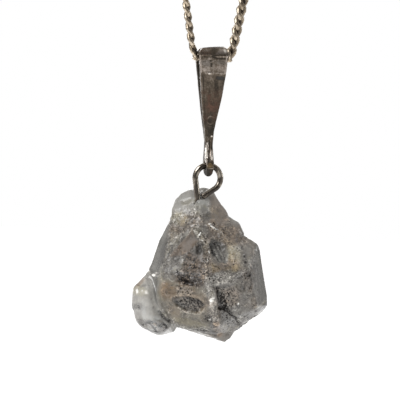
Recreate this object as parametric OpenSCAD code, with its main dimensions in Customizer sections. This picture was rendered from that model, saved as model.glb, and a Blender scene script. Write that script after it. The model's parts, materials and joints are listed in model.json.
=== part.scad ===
// A rough quartz crystal on a bent eye wire, hung from a folded strip bail on a closed curb chain.
// The chain hangs as a tall loop in the XZ plane and the front of the pendant faces -Y.
// The origin is the middle of the loop's top, where the clasp sits, and +Z is up.

/* [Chain] */
// Length round the whole loop, clasp included
chain_len = 457; // [300:1:620]
// Diameter of the tube that the links fill
chain_d = 1.16; // [0.9:0.02:1.3]
// Lean of each strand away from upright, in degrees
strand_lean = 10.3; // [6:0.1:16]
// Radius of the chain's turn beside the bail
turn_r = 0.8; // [0.7:0.05:1.2]

/* [Clasp] */
// Length of the barrel clasp
clasp_len = 8; // [6:0.5:12]
// Diameter of the barrel clasp
clasp_d = 2.8; // [2.2:0.1:4]
// Gap between each chain end and the clasp
clasp_gap = 0.08; // [0.05:0.01:0.2]

/* [Bail] */
// Outer radius of the fold over the chain
fold_r = 1.55; // [1.4:0.05:1.8]
// Thickness of the folded strip
strip_t = 0.6; // [0.45:0.05:0.65]
// Height from the chain's middle up to the fold's axis (negative when the chain lies above it)
chain_drop = -0.1; // [-0.15:0.01:0.1]
// Half width of the strip at its wide top
bail_half_w = 2.15; // [1.9:0.05:2.2]
// Outer radius of the small ring that the eye wire passes through
ring_r = 1.4; // [1.3:0.05:1.5]
// Radius of the hole in that ring
ring_hole_r = 0.62; // [0.6:0.01:0.7]
// Depth of the ring's centre below the bail's top
ring_drop = 17.95; // [17.5:0.05:18.4]
// Radius of each flute on the tongue
flute_r = 0.26; // [0.2:0.02:0.3]

/* [Eye wire] */
// Diameter of the wire
wire_d = 0.87; // [0.6:0.01:1]
// Radius of the eye, to the middle of the wire
eye_r = 1.93; // [1.8:0.01:2.2]
// Height of the wire's middle above the centre of the ring that it hangs in
eye_rise = 0.06; // [0.02:0.01:0.1]
// Lean of the stem from upright, in degrees
stem_lean = 4; // [0:0.5:6]
// Length of the straight stem below the eye
stem_len = 7.4; // [6.5:0.1:8]
// How far the eye closes round past its right side, in degrees
eye_close = 56; // [45:1:62]
// Length of the straight cut tail
tail_len = 2.25; // [1.6:0.05:2.3]

/* [Stone] */
// Turn of the stone about the upright line, in degrees
stone_turn = -13.5; // [-20:0.5:0]
// Radius of the worn edges of the crystals
edge_r = 0.3; // [0.2:0.05:0.4]
// Radius of the rounded edges of the clear side crystal
bud_edge_r = 1.1; // [0.8:0.1:1.3]
// Gap round the stem and below it in its drilled hole
bore_gap = 0.04; // [0.02:0.01:0.08]

/* [Hidden] */
round_fn = 64;
edge_fn = 8;
arc_step = 7.5;
eps = 0.01;
// The straight stretches of the wire are thinner than the eye by this on the radius and start inside it
wire_step = 0.008;
wire_lap = 0.06;

// Loop of the chain
chain_r = chain_d / 2;
fold_axis_z = -fold_r;
run_z = fold_axis_z - chain_drop;
turn_x = 2.1;
turn_z = run_z + turn_r;
turn_sweep = 90 - strand_lean;
leg_x = turn_x + turn_r * sin(turn_sweep);
leg_z = turn_z - turn_r * cos(turn_sweep);
low_len = 2 * (turn_x + turn_r * turn_sweep * PI / 180);
arc_ratio = (180 + 2 * strand_lean) * PI / 180 / cos(strand_lean);
leg_len = (chain_len - low_len - arc_ratio * leg_x) / (2 + arc_ratio * sin(strand_lean));
loop_r = (leg_x + leg_len * sin(strand_lean)) / cos(strand_lean);
loop_z = leg_z + leg_len * cos(strand_lean) + loop_r * sin(strand_lean);
bail_top_z = -(loop_z + loop_r);
chain_sides = 8;
run_steps = 2;
turn_steps = 7;
leg_steps = 6;
arc_steps = 21;
clasp_angle = asin((clasp_len / 2 + clasp_gap) / loop_r);

// Heights under the bail's top
ring_z = -ring_drop;
eye_z = ring_z + eye_rise - eye_r;
wire_r = wire_d / 2;
stem_x = -eye_r * cos(stem_lean);
stem_z = eye_z - eye_r * sin(stem_lean);
bore_r = wire_r + bore_gap;
bore_mouth_z = -23.2;
bore_len = stem_len + bore_gap - (stem_z - bore_mouth_z) / cos(stem_lean);

// Folded strip from the front: height, reach to the left, reach to the right
strip_rows = [
    [0, -1.0, 1.75],
    [-0.38, 1.62, 2.0],
    [-1.0, 2.13, 2.13],
    [-1.6, bail_half_w, bail_half_w],
    [-4.5, 1.86, 1.9],
    [-7.5, 1.6, 1.54],
    [-9.6, 1.38, 1.12],
    [-11.4, 1.17, 0.74],
    [-12.8, 0.94, 0.5],
    [-14.2, 0.78, 0.42],
    [-15.2, 0.75, 0.38],
    [-17.1, 0.72, 0.42],
    [-18.9, 0.63, 0.41]
];
tongue_r = 0.53;
tongue_x = -0.11;
tongue_z = -18.84;

// Folded strip from the side: height, outer half depth
depth_rows = [
    [fold_axis_z - 0.15, fold_r - 0.05],
    [-3.0, 1.38],
    [-5.5, 1.08],
    [-8.0, 0.85],
    [-11.0, 0.64],
    [-14.9, 0.5]
];
mouth_end_z = -11.2;
mouth_end_w = 0.08;
mouth_lap = 0.02;
// Place on the ring, in degrees above its middle, where the slope from the neck runs into it
shoulder_angle = 28;
shoulder_y = ring_r * cos(shoulder_angle);
shoulder_z = ring_z + ring_r * sin(shoulder_angle);

// Corners of the front crystal: across, depth, height under the bail's top
front_corners = [
    [-1.5, -3.5, -27.9],  // apex of the tall front face
    [-0.1, -5.7, -32.2],  // front crest
    [0.6, -6.6, -35.4],   // front crest, nearest point
    [1.1, -6.5, -37.2],   // crest below the ridge
    [2.1, -5.3, -41.2],   // foot of the crest
    [-6.0, -4.0, -34.3],  // left corner of the front face
    [-6.1, -3.9, -38.2],  // lower left front
    [-3.8, -3.0, -41.9],  // bottom left front
    [1.9, -3.8, -42.6],   // bottom front
    [-5.3, 0.9, -26.8],   // left flank, top
    [-6.9, 0.8, -30.2],   // left flank, middle
    [-8.0, 0.5, -33.9],   // left flank, bottom
    [-7.0, 0.6, -40.0],   // left, behind the side crystal
    [4.2, 0.2, -28.4],    // right, inside the block
    [4.6, 0.2, -42.3],    // bottom
    [-3.0, 4.3, -28.0],   // back, top left
    [2.4, 4.6, -28.6],    // back, top right
    [-5.2, 4.6, -34.6],   // back left
    [0.2, 6.3, -34.0],    // back crest
    [0.6, 5.9, -38.0],    // back crest, low
    [-3.6, 4.0, -41.0],   // back, lower left
    [2.6, 3.6, -42.0]     // back, bottom
];

// Corners of the block on the right
block_corners = [
    [-0.1, -5.4, -32.0],  // beside the front crest
    [0.9, -6.1, -35.2],   // beside the nearest point
    [3.5, -5.2, -35.0],   // ridge
    [6.3, -3.0, -32.8],   // end of the ridge
    [7.7, -2.6, -38.6],   // lower right front
    [2.9, -3.9, -40.9],   // foot, beside the crest
    [3.2, -0.9, -27.8],   // upper front
    [5.9, 0.4, -28.8],    // shoulder
    [7.3, 0.6, -29.7],
    [7.8, 0.5, -30.6],    // right edge, top
    [9.1, 0.2, -37.2],    // right edge
    [9.2, 0.2, -38.3],    // right edge, bottom
    [8.5, 0.3, -39.3],    // bottom right
    [4.6, 0.2, -42.3],    // bottom
    [5.6, 3.6, -30.2],    // back, top
    [7.0, 3.6, -33.4],    // back right
    [6.4, 4.0, -37.4],    // back, lower right
    [0.0, 0.0, -36.0]     // inside the front crystal
];

// Corners of the crown that holds the wire
crown_corners = [
    [-4.6, 2.2, -23.3],   // top left
    [-3.8, 2.0, -22.5],
    [-2.8, 1.8, -22.0],   // top
    [-0.5, 1.7, -21.8],
    [0.7, 1.9, -22.3],    // top right
    [2.5, 1.4, -24.9],    // right slope
    [3.2, 1.0, -26.2],
    [-5.0, 1.0, -24.7],   // left slope
    [-5.3, 0.6, -26.9],
    [-2.0, 0.1, -23.6],   // front, where the wire goes in
    [-1.2, -1.7, -25.6],  // front ridge
    [-1.3, -3.4, -28.1],  // ridge down to the apex
    [-0.7, -4.3, -29.7],  // foot of the ridge, on the front crest
    [1.0, -2.7, -27.2],   // right of the front ridge
    [1.8, -2.9, -29.6],   // foot of the right slope
    [3.0, -1.0, -28.0],
    [-4.6, -1.6, -29.4],  // foot of the left slope
    [-3.4, 4.0, -24.2],   // back left
    [0.4, 4.1, -24.2],    // back right
    [2.4, 3.8, -26.8],
    [-4.4, 3.8, -27.6],
    [-0.5, -1.0, -31.0]   // inside the front crystal
];

// Corners of the knob on the right shoulder
shoulder_corners = [
    [3.2, 0.4, -25.9],
    [4.5, 0.4, -26.7],    // tip
    [5.2, 0.3, -28.1],
    [2.4, -1.5, -26.9],   // front
    [4.2, -1.3, -28.4],
    [2.9, 2.6, -26.6],    // back
    [4.8, 2.4, -28.8],
    [0.5, 0.5, -26.5],    // inside the crown
    [1.5, 0.0, -30.5]     // inside the front crystal
];

// Corners of the clear side crystal
bud_corners = [
    [-7.9, 0.3, -35.2],   // top
    [-9.6, 0.1, -37.0],   // left
    [-9.7, 0.5, -39.5],
    [-8.8, 0.2, -41.4],   // bottom left
    [-6.5, 0.5, -42.4],   // bottom
    [-4.9, 0.6, -41.9],
    [-8.3, -1.9, -37.6],  // front
    [-7.4, -1.9, -40.9],
    [-5.6, -1.5, -41.4],
    [-8.2, 2.2, -37.4],   // back
    [-7.6, 2.4, -40.8],
    [-5.0, 1.0, -38.0]    // inside the front crystal
];

// Corners of the small point at the bottom
foot_corners = [
    [0.0, -2.6, -42.6],
    [3.3, -0.3, -43.9],   // lowest point
    [3.7, -0.1, -43.5],
    [4.3, 0.0, -42.6],
    [-3.4, -0.2, -42.1],  // along the lower edge to the left
    [2.4, 2.6, -42.6],    // back
    [0.0, 0.5, -40.0]     // inside the front crystal
];

// Places along the right half of the chain from the middle of the bail: x, z, heading
right_run = [for (i = [0 : run_steps]) [i * turn_x / (run_steps + 1), run_z, 0]];
right_turn = [
    for (i = [0 : turn_steps])
        let (a = i * turn_sweep / turn_steps)
        [turn_x + turn_r * sin(a), turn_z - turn_r * cos(a), a]
];
right_leg = [
    for (i = [1 : leg_steps])
        let (s = leg_len * i / (leg_steps + 1))
        [leg_x + s * sin(strand_lean), leg_z + s * cos(strand_lean), turn_sweep]
];
right_arc = [
    for (i = [0 : arc_steps])
        let (a = -strand_lean + i * (90 - clasp_angle + strand_lean) / arc_steps)
        [loop_r * cos(a), loop_z + loop_r * sin(a), a + 90]
];
right_half = concat(right_run, right_turn, right_leg, right_arc);
half_count = len(right_half);
left_half = [for (i = [half_count - 1 : -1 : 1]) [-right_half[i][0], right_half[i][1], -right_half[i][2]]];
route = concat(left_half, right_half);

// One ring of points square to the route
function tube_ring(place) = [
    for (k = [0 : chain_sides - 1])
        let (a = k * 360 / chain_sides)
        [
            place[0] - chain_r * cos(a) * sin(place[2]),
            chain_r * sin(a),
            place[1] + chain_r * cos(a) * cos(place[2])
        ]
];

// Points along an arc, one every arc_step degrees or a little less
function arc_points(x, y, r, from, to) =
    let (steps = ceil((to - from) / arc_step))
    [for (i = [0 : steps]) let (a = from + i * (to - from) / steps) [x + r * cos(a), y + r * sin(a)]];

// Lifts a piece that is measured from the bail's top into the frame of the loop
module from_bail_top() {
    translate([0, 0, bail_top_z]) children();
}

// Turns a profile drawn as (Y, Z) to stand square across X, with half its length on each side
module across_x(length) {
    rotate([90, 0, 90]) linear_extrude(height = length, center = true) children();
}

// Turns a profile drawn as (X, Z) to stand square across Y, with half its length on each side
module across_y(length) {
    rotate([90, 0, 0]) linear_extrude(height = length, center = true) children();
}

// The tube that the links of the chain fill
module chain() {
    rings = len(route);
    last = (rings - 1) * chain_sides;
    color([0.62, 0.58, 0.51]) from_bail_top() polyhedron(
        points = [for (place = route) each tube_ring(place)],
        faces = concat(
            [[for (k = [0 : chain_sides - 1]) k]],
            [
                for (i = [0 : rings - 2], k = [0 : chain_sides - 1])
                    let (a = i * chain_sides + k, b = i * chain_sides + (k + 1) % chain_sides)
                    [a, a + chain_sides, b + chain_sides, b]
            ],
            [[for (k = [chain_sides - 1 : -1 : 0]) last + k]]
        ),
        convexity = 6
    );
}

// A plain barrel clasp with a waist line round its middle
module clasp() {
    seam_t = 0.3;
    seam_depth = 0.15;
    cap_t = 0.8;
    color([0.6, 0.57, 0.52]) rotate([0, 90, 0]) {
        difference() {
            cylinder(h = clasp_len - 2 * cap_t, d = clasp_d, center = true, $fn = round_fn);
            difference() {
                cylinder(h = seam_t, d = clasp_d + 1, center = true, $fn = round_fn);
                cylinder(h = seam_t + 1, d = clasp_d - 2 * seam_depth, center = true, $fn = round_fn);
            }
        }
        for (side = [0, 1]) mirror([0, 0, side])
            translate([0, 0, clasp_len / 2 - cap_t - eps])
                cylinder(h = cap_t + eps, d1 = clasp_d, d2 = clasp_d - cap_t, $fn = round_fn);
    }
}

// The outline of the strip seen from the side: fold, two plates that close to a neck, and the ring
module bail_side() {
    rows = len(depth_rows);
    polygon(concat(
        arc_points(0, fold_axis_z, fold_r, 0, 180),
        [for (row = depth_rows) [-row[1], row[0]]],
        arc_points(0, ring_z, ring_r, 180 - shoulder_angle, 360 + shoulder_angle),
        [for (i = [rows - 1 : -1 : 0]) [depth_rows[i][1], depth_rows[i][0]]]
    ));
}

// The slot between the two plates under the fold
module bail_mouth() {
    rows = len(depth_rows);
    polygon(concat(
        [for (i = [0 : rows - 3]) [depth_rows[i][1] - strip_t - mouth_lap, depth_rows[i][0]]],
        [[mouth_end_w / 2, mouth_end_z], [-mouth_end_w / 2, mouth_end_z]],
        [for (i = [rows - 3 : -1 : 0]) [strip_t + mouth_lap - depth_rows[i][1], depth_rows[i][0]]]
    ));
}

// The strip seen from the front: a taper that ends in a round tongue
module bail_front() {
    rows = len(strip_rows);
    polygon(concat(
        [for (row = strip_rows) [-row[1], row[0]]],
        arc_points(tongue_x, tongue_z, tongue_r, 190, 350),
        [for (i = [rows - 1 : -1 : 0]) [strip_rows[i][2], strip_rows[i][0]]]
    ));
}

// The folded strip, with two flutes that deepen down the front of its tongue
module bail() {
    flute_depth = 0.13;
    flute_gap = 0.35;
    top_y = -depth_rows[len(depth_rows) - 1][1] - flute_r;
    top_z = depth_rows[len(depth_rows) - 1][0] + 0.3;
    end_y = -shoulder_y - flute_r + flute_depth;
    flute_len = norm([end_y - top_y, top_z - shoulder_z]);
    flute_tilt = atan((top_y - end_y) / (top_z - shoulder_z));
    color([0.42, 0.38, 0.34]) from_bail_top() difference() {
        intersection() {
            across_x(3 * bail_half_w) bail_side();
            across_y(4 * ring_r) bail_front();
        }
        translate([0, 0, fold_axis_z]) rotate([0, 90, 0])
            cylinder(h = 3 * bail_half_w, r = fold_r - strip_t, center = true, $fn = round_fn);
        across_x(3 * bail_half_w) bail_mouth();
        translate([0, 0, ring_z]) rotate([0, 90, 0])
            cylinder(h = 3 * bail_half_w, r = ring_hole_r, center = true, $fn = round_fn);
        for (side = [-1, 1])
            translate([tongue_x + side * flute_gap, end_y, shoulder_z]) rotate([-flute_tilt, 0, 0])
                cylinder(h = flute_len, r = flute_r, $fn = round_fn);
    }
}

// The bent wire: straight stem, round eye and cut tail
module eye_wire() {
    eye_start = -eye_close;
    eye_sweep = 180 + stem_lean + eye_close;
    tail_x = eye_r * cos(eye_start);
    tail_z = eye_z + eye_r * sin(eye_start);
    color([0.46, 0.43, 0.38]) from_bail_top() {
        translate([0, 0, eye_z]) rotate([90, 0, 0]) rotate([0, 0, eye_start])
            rotate_extrude(angle = eye_sweep, $fn = 2 * round_fn)
                translate([eye_r, 0]) circle(r = wire_r, $fn = round_fn);
        translate([stem_x, 0, stem_z]) rotate([0, 180 - stem_lean, 0])
            translate([0, 0, -wire_lap]) cylinder(h = stem_len + wire_lap, r = wire_r - wire_step, $fn = round_fn);
        translate([tail_x, 0, tail_z]) rotate([0, 180 + eye_close, 0])
            translate([0, 0, -wire_lap]) cylinder(h = tail_len + wire_lap, r = wire_r - wire_step, $fn = round_fn);
    }
}

// One crystal: the hull of small balls at its corners
module crystal(corners, radius) {
    hull() for (corner = corners) translate(corner) sphere(r = radius, $fn = edge_fn);
}

// The rough stone: front crystal, block, crown, shoulder, side crystal and foot, drilled for the stem
module stone() {
    bore_x = stem_x + (stem_z - bore_mouth_z) * tan(stem_lean);
    color([0.62, 0.61, 0.58]) from_bail_top() difference() {
        rotate([0, 0, stone_turn]) {
            crystal(front_corners, edge_r);
            crystal(block_corners, edge_r);
            crystal(crown_corners, edge_r);
            crystal(shoulder_corners, edge_r);
            crystal(bud_corners, bud_edge_r);
            crystal(foot_corners, edge_r);
        }
        translate([bore_x, 0, bore_mouth_z]) rotate([0, 180 - stem_lean, 0])
            cylinder(h = bore_len, r = bore_r, $fn = round_fn);
    }
}

chain();
clasp();
bail();
eye_wire();
stone();
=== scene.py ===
"""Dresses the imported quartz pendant: chain links, clasp, bail, eye wire and stone, in a white studio.

Shapes are worked out in millimetres in the frame's own axes and become metres as each piece is finished.
"""

from __future__ import annotations

import json
import logging
import math
from collections.abc import Callable, Iterable
from dataclasses import dataclass, field
from enum import Enum

import bmesh
import bpy
import numpy as np
from mathutils import Matrix, Vector, noise

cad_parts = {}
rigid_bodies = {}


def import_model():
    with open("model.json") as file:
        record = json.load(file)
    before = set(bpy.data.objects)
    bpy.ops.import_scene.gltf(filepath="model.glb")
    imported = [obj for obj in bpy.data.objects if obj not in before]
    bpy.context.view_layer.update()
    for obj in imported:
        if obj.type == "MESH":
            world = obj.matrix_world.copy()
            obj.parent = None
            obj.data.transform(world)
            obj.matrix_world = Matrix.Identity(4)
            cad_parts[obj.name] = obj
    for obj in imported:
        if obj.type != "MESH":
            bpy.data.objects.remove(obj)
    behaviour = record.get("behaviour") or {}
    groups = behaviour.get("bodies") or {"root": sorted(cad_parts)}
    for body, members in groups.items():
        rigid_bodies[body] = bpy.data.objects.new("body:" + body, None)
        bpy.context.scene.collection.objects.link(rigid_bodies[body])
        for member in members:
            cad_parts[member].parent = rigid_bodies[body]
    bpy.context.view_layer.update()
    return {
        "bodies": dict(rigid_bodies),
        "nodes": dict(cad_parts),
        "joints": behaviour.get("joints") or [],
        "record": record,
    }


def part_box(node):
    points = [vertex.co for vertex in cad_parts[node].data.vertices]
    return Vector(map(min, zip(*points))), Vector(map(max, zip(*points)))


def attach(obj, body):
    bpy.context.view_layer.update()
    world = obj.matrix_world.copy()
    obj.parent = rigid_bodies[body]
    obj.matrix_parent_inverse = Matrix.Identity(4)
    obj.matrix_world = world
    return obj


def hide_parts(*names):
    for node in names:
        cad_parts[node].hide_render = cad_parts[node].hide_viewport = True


log = logging.getLogger("pendant")

MM = 0.001
VIEW_TURN = math.radians(-13.5)

DEPTH = Vector((0, 1, 0))  # from the front to the back
FAR = 1e9  # more than any distance
CELL_SPREAD = 7.3  # keeps the centres of neighbouring cells in different cells of the value noise
FRACTAL_FALL, FRACTAL_GAP = 1.0, 2.0  # each octave's fall in strength and its step in size

Colour = tuple[float, float, float]
Point = tuple[float, float]


# Shader nodes


class Flow:
    """One output socket of a node tree, with arithmetic that adds Math nodes."""

    def __init__(self, kit: NodeKit, socket: bpy.types.NodeSocket) -> None:
        """Wraps a socket.

        Args:
            kit: The tree's node kit.
            socket: The output socket.
        """
        self.kit = kit
        self.socket = socket

    def _math(self, operation: str, first: Flow | float, second: Flow | float) -> Flow:
        """One Math node on two values."""
        return self.kit.add("ShaderNodeMath", {0: first, 1: second}, operation=operation)

    def __add__(self, other: Flow | float) -> Flow:
        """Sum."""
        return self._math("ADD", self, other)

    __radd__ = __add__

    def __sub__(self, other: Flow | float) -> Flow:
        """Difference."""
        return self._math("SUBTRACT", self, other)

    def __rsub__(self, other: float) -> Flow:
        """Difference, the other way round."""
        return self._math("SUBTRACT", other, self)

    def __mul__(self, other: Flow | float) -> Flow:
        """Product."""
        return self._math("MULTIPLY", self, other)

    __rmul__ = __mul__

    def step(self, low: float, high: float) -> Flow:
        """A smooth rise from 0 at low to 1 at high, or a fall where low is the greater.

        Args:
            low: Where it is 0.
            high: Where it is 1.

        Returns:
            The value.
        """
        if low > high:
            return 1 - self.step(high, low)
        inputs = {"Value": self, "From Min": low, "From Max": high}
        return self.kit.add("ShaderNodeMapRange", inputs, interpolation_type="SMOOTHSTEP")


class NodeKit:
    """The nodes of a new material or world."""

    def __init__(self, owner: bpy.types.Material | bpy.types.World) -> None:
        """Starts an empty node tree.

        Args:
            owner: The material or world.
        """
        self.owner = owner
        owner.use_nodes = True
        self.tree = owner.node_tree
        self.tree.nodes.clear()

    def add(
        self,
        kind: str,
        inputs: dict[str | int, object] | None = None,
        output: str | int = 0,
        **settings: object,
    ) -> Flow:
        """Adds one node.

        Args:
            kind: The node's type.
            inputs: Values or links of its sockets.
            output: The output socket to return.
            **settings: Its properties, which are set first.

        Returns:
            The wrapped output socket.
        """
        node = self.tree.nodes.new(kind)
        for key, value in settings.items():
            setattr(node, key, value)
        for key, value in (inputs or {}).items():
            socket = node.inputs[key]
            if isinstance(value, Flow):
                self.tree.links.new(value.socket, socket)
            else:
                socket.default_value = (*value, 1) if socket.type == "RGBA" else value
        return Flow(self, node.outputs[output])

    def place(self) -> Flow:
        """Object coordinates."""
        return self.add("ShaderNodeTexCoord", output="Object")

    def attribute(self, layer: Layer) -> Flow:
        """A layer's number, which is stored on the mesh's points."""
        return self.add("ShaderNodeAttribute", output="Fac", attribute_name=layer.value)

    def grain(
        self, at: Flow, scale_mm: float, detail: float = 3, rough: float = 0.55, warp: float = 0
    ) -> Flow:
        """Noise from 0 to 1.

        Args:
            at: The coordinates.
            scale_mm: Rough size of one lump, in millimetres.
            detail: Octaves.
            rough: Strength of the finer octaves.
            warp: Distortion.

        Returns:
            The noise value.
        """
        inputs = {"Vector": at, "Scale": 1 / (scale_mm * MM), "Detail": detail, "Roughness": rough}
        return self.add("ShaderNodeTexNoise", {**inputs, "Distortion": warp})

    def stretched(self, at: Flow, scale: tuple[float, float, float], turn: float = 0) -> Flow:
        """Coordinates stretched along the axes, and turned about Y by an angle in degrees."""
        rotation = (0, math.radians(turn), 0)
        return self.add("ShaderNodeMapping", {"Vector": at, "Scale": scale, "Rotation": rotation})

    def cells(self, at: Flow, scale_mm: float, output: str = "Distance") -> Flow:
        """Distance from the nearest of many scattered points, or with Color a steady value for it."""
        return self.add("ShaderNodeTexVoronoi", {"Vector": at, "Scale": 1 / (scale_mm * MM)}, output)

    def facets(self, at: Flow, scale_mm: float) -> Flow:
        """Height in metres of a crust of small flat faces that lean each its own way.

        Args:
            at: The coordinates.
            scale_mm: Size of a face.

        Returns:
            The height.
        """
        kind = "ShaderNodeVectorMath"
        centre, colour = self.cells(at, scale_mm, "Position"), self.cells(at, scale_mm, "Color")
        inside = self.add(kind, {0: at, 1: centre}, operation="SUBTRACT")
        lean = self.add(kind, {0: colour, 1: (0.5, 0.5, 0.5)}, operation="SUBTRACT")
        return self.add(kind, {0: inside, 1: lean}, "Value", operation="DOT_PRODUCT")

    def mix(
        self, factor: Flow | float, first: Flow | Colour, second: Flow | Colour, blend: str = "MIX"
    ) -> Flow:
        """One colour over another, or with MULTIPLY a tint."""
        inputs = {0: factor, 6: first, 7: second}
        return self.add("ShaderNodeMix", inputs, 2, data_type="RGBA", blend_type=blend, clamp_factor=True)

    def bump(self, height: Flow, depth_mm: float, under: Flow | None = None) -> Flow:
        """A normal tilted by a height from 0 to 1 that stands depth_mm tall.

        Args:
            height: The height.
            depth_mm: How tall 1 is.
            under: A normal that is tilted further.

        Returns:
            The normal.
        """
        inputs: dict[str | int, object] = {"Height": height, "Distance": depth_mm * MM, "Strength": 1.0}
        if under is not None:
            inputs["Normal"] = under
        return self.add("ShaderNodeBump", inputs)

    def surface(self, inputs: dict[str | int, object]) -> Flow:
        """A Principled shader."""
        return self.add("ShaderNodeBsdfPrincipled", inputs)

    def layered(self, share: Flow, first: Flow, second: Flow) -> Flow:
        """A second shader over the first."""
        return self.add("ShaderNodeMixShader", {0: share, 1: first, 2: second})

    def finish(self, shader: Flow) -> bpy.types.Material | bpy.types.World:
        """Links a shader to the output and gives the material or world.

        Args:
            shader: The shader.

        Returns:
            The material or world.
        """
        in_world = isinstance(self.owner, bpy.types.World)
        output = self.tree.nodes.new("ShaderNodeOutputWorld" if in_world else "ShaderNodeOutputMaterial")
        self.tree.links.new(shader.socket, output.inputs["Surface"])
        return self.owner


# Finishes


class Layer(Enum):
    """A number stored on each point of a mesh, which its finish reads."""

    TONE = "tone"
    MILK = "milk"
    WARM = "warm"
    COOL = "cool"
    KHAKI = "khaki"
    GRIT = "grit"
    BEADS = "beads"
    FROST_AND_GLINT = "frost"
    DARK = "dark"
    CLEAR = "clear"
    GLOSS = "gloss"
    LIGHT = "light"
    RUST = "rust"
    GOLD = "gold"


METAL_ONLY = (Layer.LIGHT, Layer.RUST, Layer.GOLD)
SILVER_LAYERS = (Layer.DARK, *METAL_ONLY, Layer.COOL)
QUARTZ_LAYERS = tuple(layer for layer in Layer if layer not in METAL_ONLY)


@dataclass(frozen=True)
class SilverFinish:
    """Worn silver that has tarnished in its hollows, with painted highlights and painted shade from its
    mesh's layers.
    """

    name: str
    bright: Colour
    dull: Colour
    dark: Colour
    tarnish: float
    rough_low: float = 0.28
    rough_high: float = 0.5
    dent_mm: float = 0.01
    matte_where_dark: float = 0
    rust: Colour = (0.16, 0.085, 0.06)
    gold: Colour = (0.3, 0.2, 0.09)
    cool: Colour = (0.075, 0.084, 0.09)
    painted_highlight: Colour = (0.72, 0.68, 0.62)
    lump_mm: float = 0.9
    fleck_mm: float = 0.198
    scratch_mm: float = 0.05
    fall_mm: float = 0.11

    def build(self) -> bpy.types.Material:
        """Makes the material.

        Returns:
            The material.
        """
        kit = NodeKit(bpy.data.materials.new(self.name))
        at = kit.place()
        cloud = kit.grain(at, self.lump_mm, 5, 0.62, 0.4)
        fleck = kit.grain(at, self.fleck_mm, 3, 0.6)
        scratch = kit.grain(kit.stretched(at, (0.08, 1, 1)), self.scratch_mm, 2)
        fall = kit.grain(kit.stretched(at, (1, 1, 0.12), 6), self.fall_mm, 2)
        level = (cloud * 0.55 + fleck * 0.3 + scratch * 0.2 + fall * 0.25 - 0.65) * 2.4 + self.tarnish
        # The dark layer, tarnish and painted shade, raises the level; painted highlights lower it.
        level = level + kit.attribute(Layer.DARK) - kit.attribute(Layer.LIGHT)
        colour = kit.mix(level.step(0.05, 0.62), self.bright, self.dull)
        colour = kit.mix(level.step(0.45, 1.15), colour, self.dark)
        colour = kit.mix(kit.attribute(Layer.RUST) * cloud.step(0.3, 0.7), colour, self.rust)
        colour = kit.mix(kit.attribute(Layer.GOLD), colour, self.gold)
        colour = kit.mix(kit.attribute(Layer.COOL) * 0.7, colour, self.cool)
        # Near the top of the highlight layer, a pale painted highlight.
        colour = kit.mix(kit.attribute(Layer.LIGHT).step(0.75, 1), colour, self.painted_highlight)
        relief = kit.bump(cloud * 0.5 + scratch * 0.22 + fall * 0.16, self.dent_mm)
        metal = kit.surface(
            {
                "Base Color": colour,
                "Metallic": level.step(1.5, 0.4) * 0.35 + 0.62,
                "Roughness": level.step(0, 1.1) * (self.rough_high - self.rough_low) + self.rough_low,
                "Normal": relief,
            }
        )
        # Where the level is highest, on the darkest tarnish and on painted shade, a matte surface keeps
        # reflections off.
        if not self.matte_where_dark:
            return kit.finish(metal)
        crust = kit.surface(
            {"Base Color": colour, "Roughness": 0.8, "Specular IOR Level": 0.15, "Normal": relief}
        )
        return kit.finish(kit.layered(level.step(0.9, 1.5) * self.matte_where_dark, metal, crust))


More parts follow.
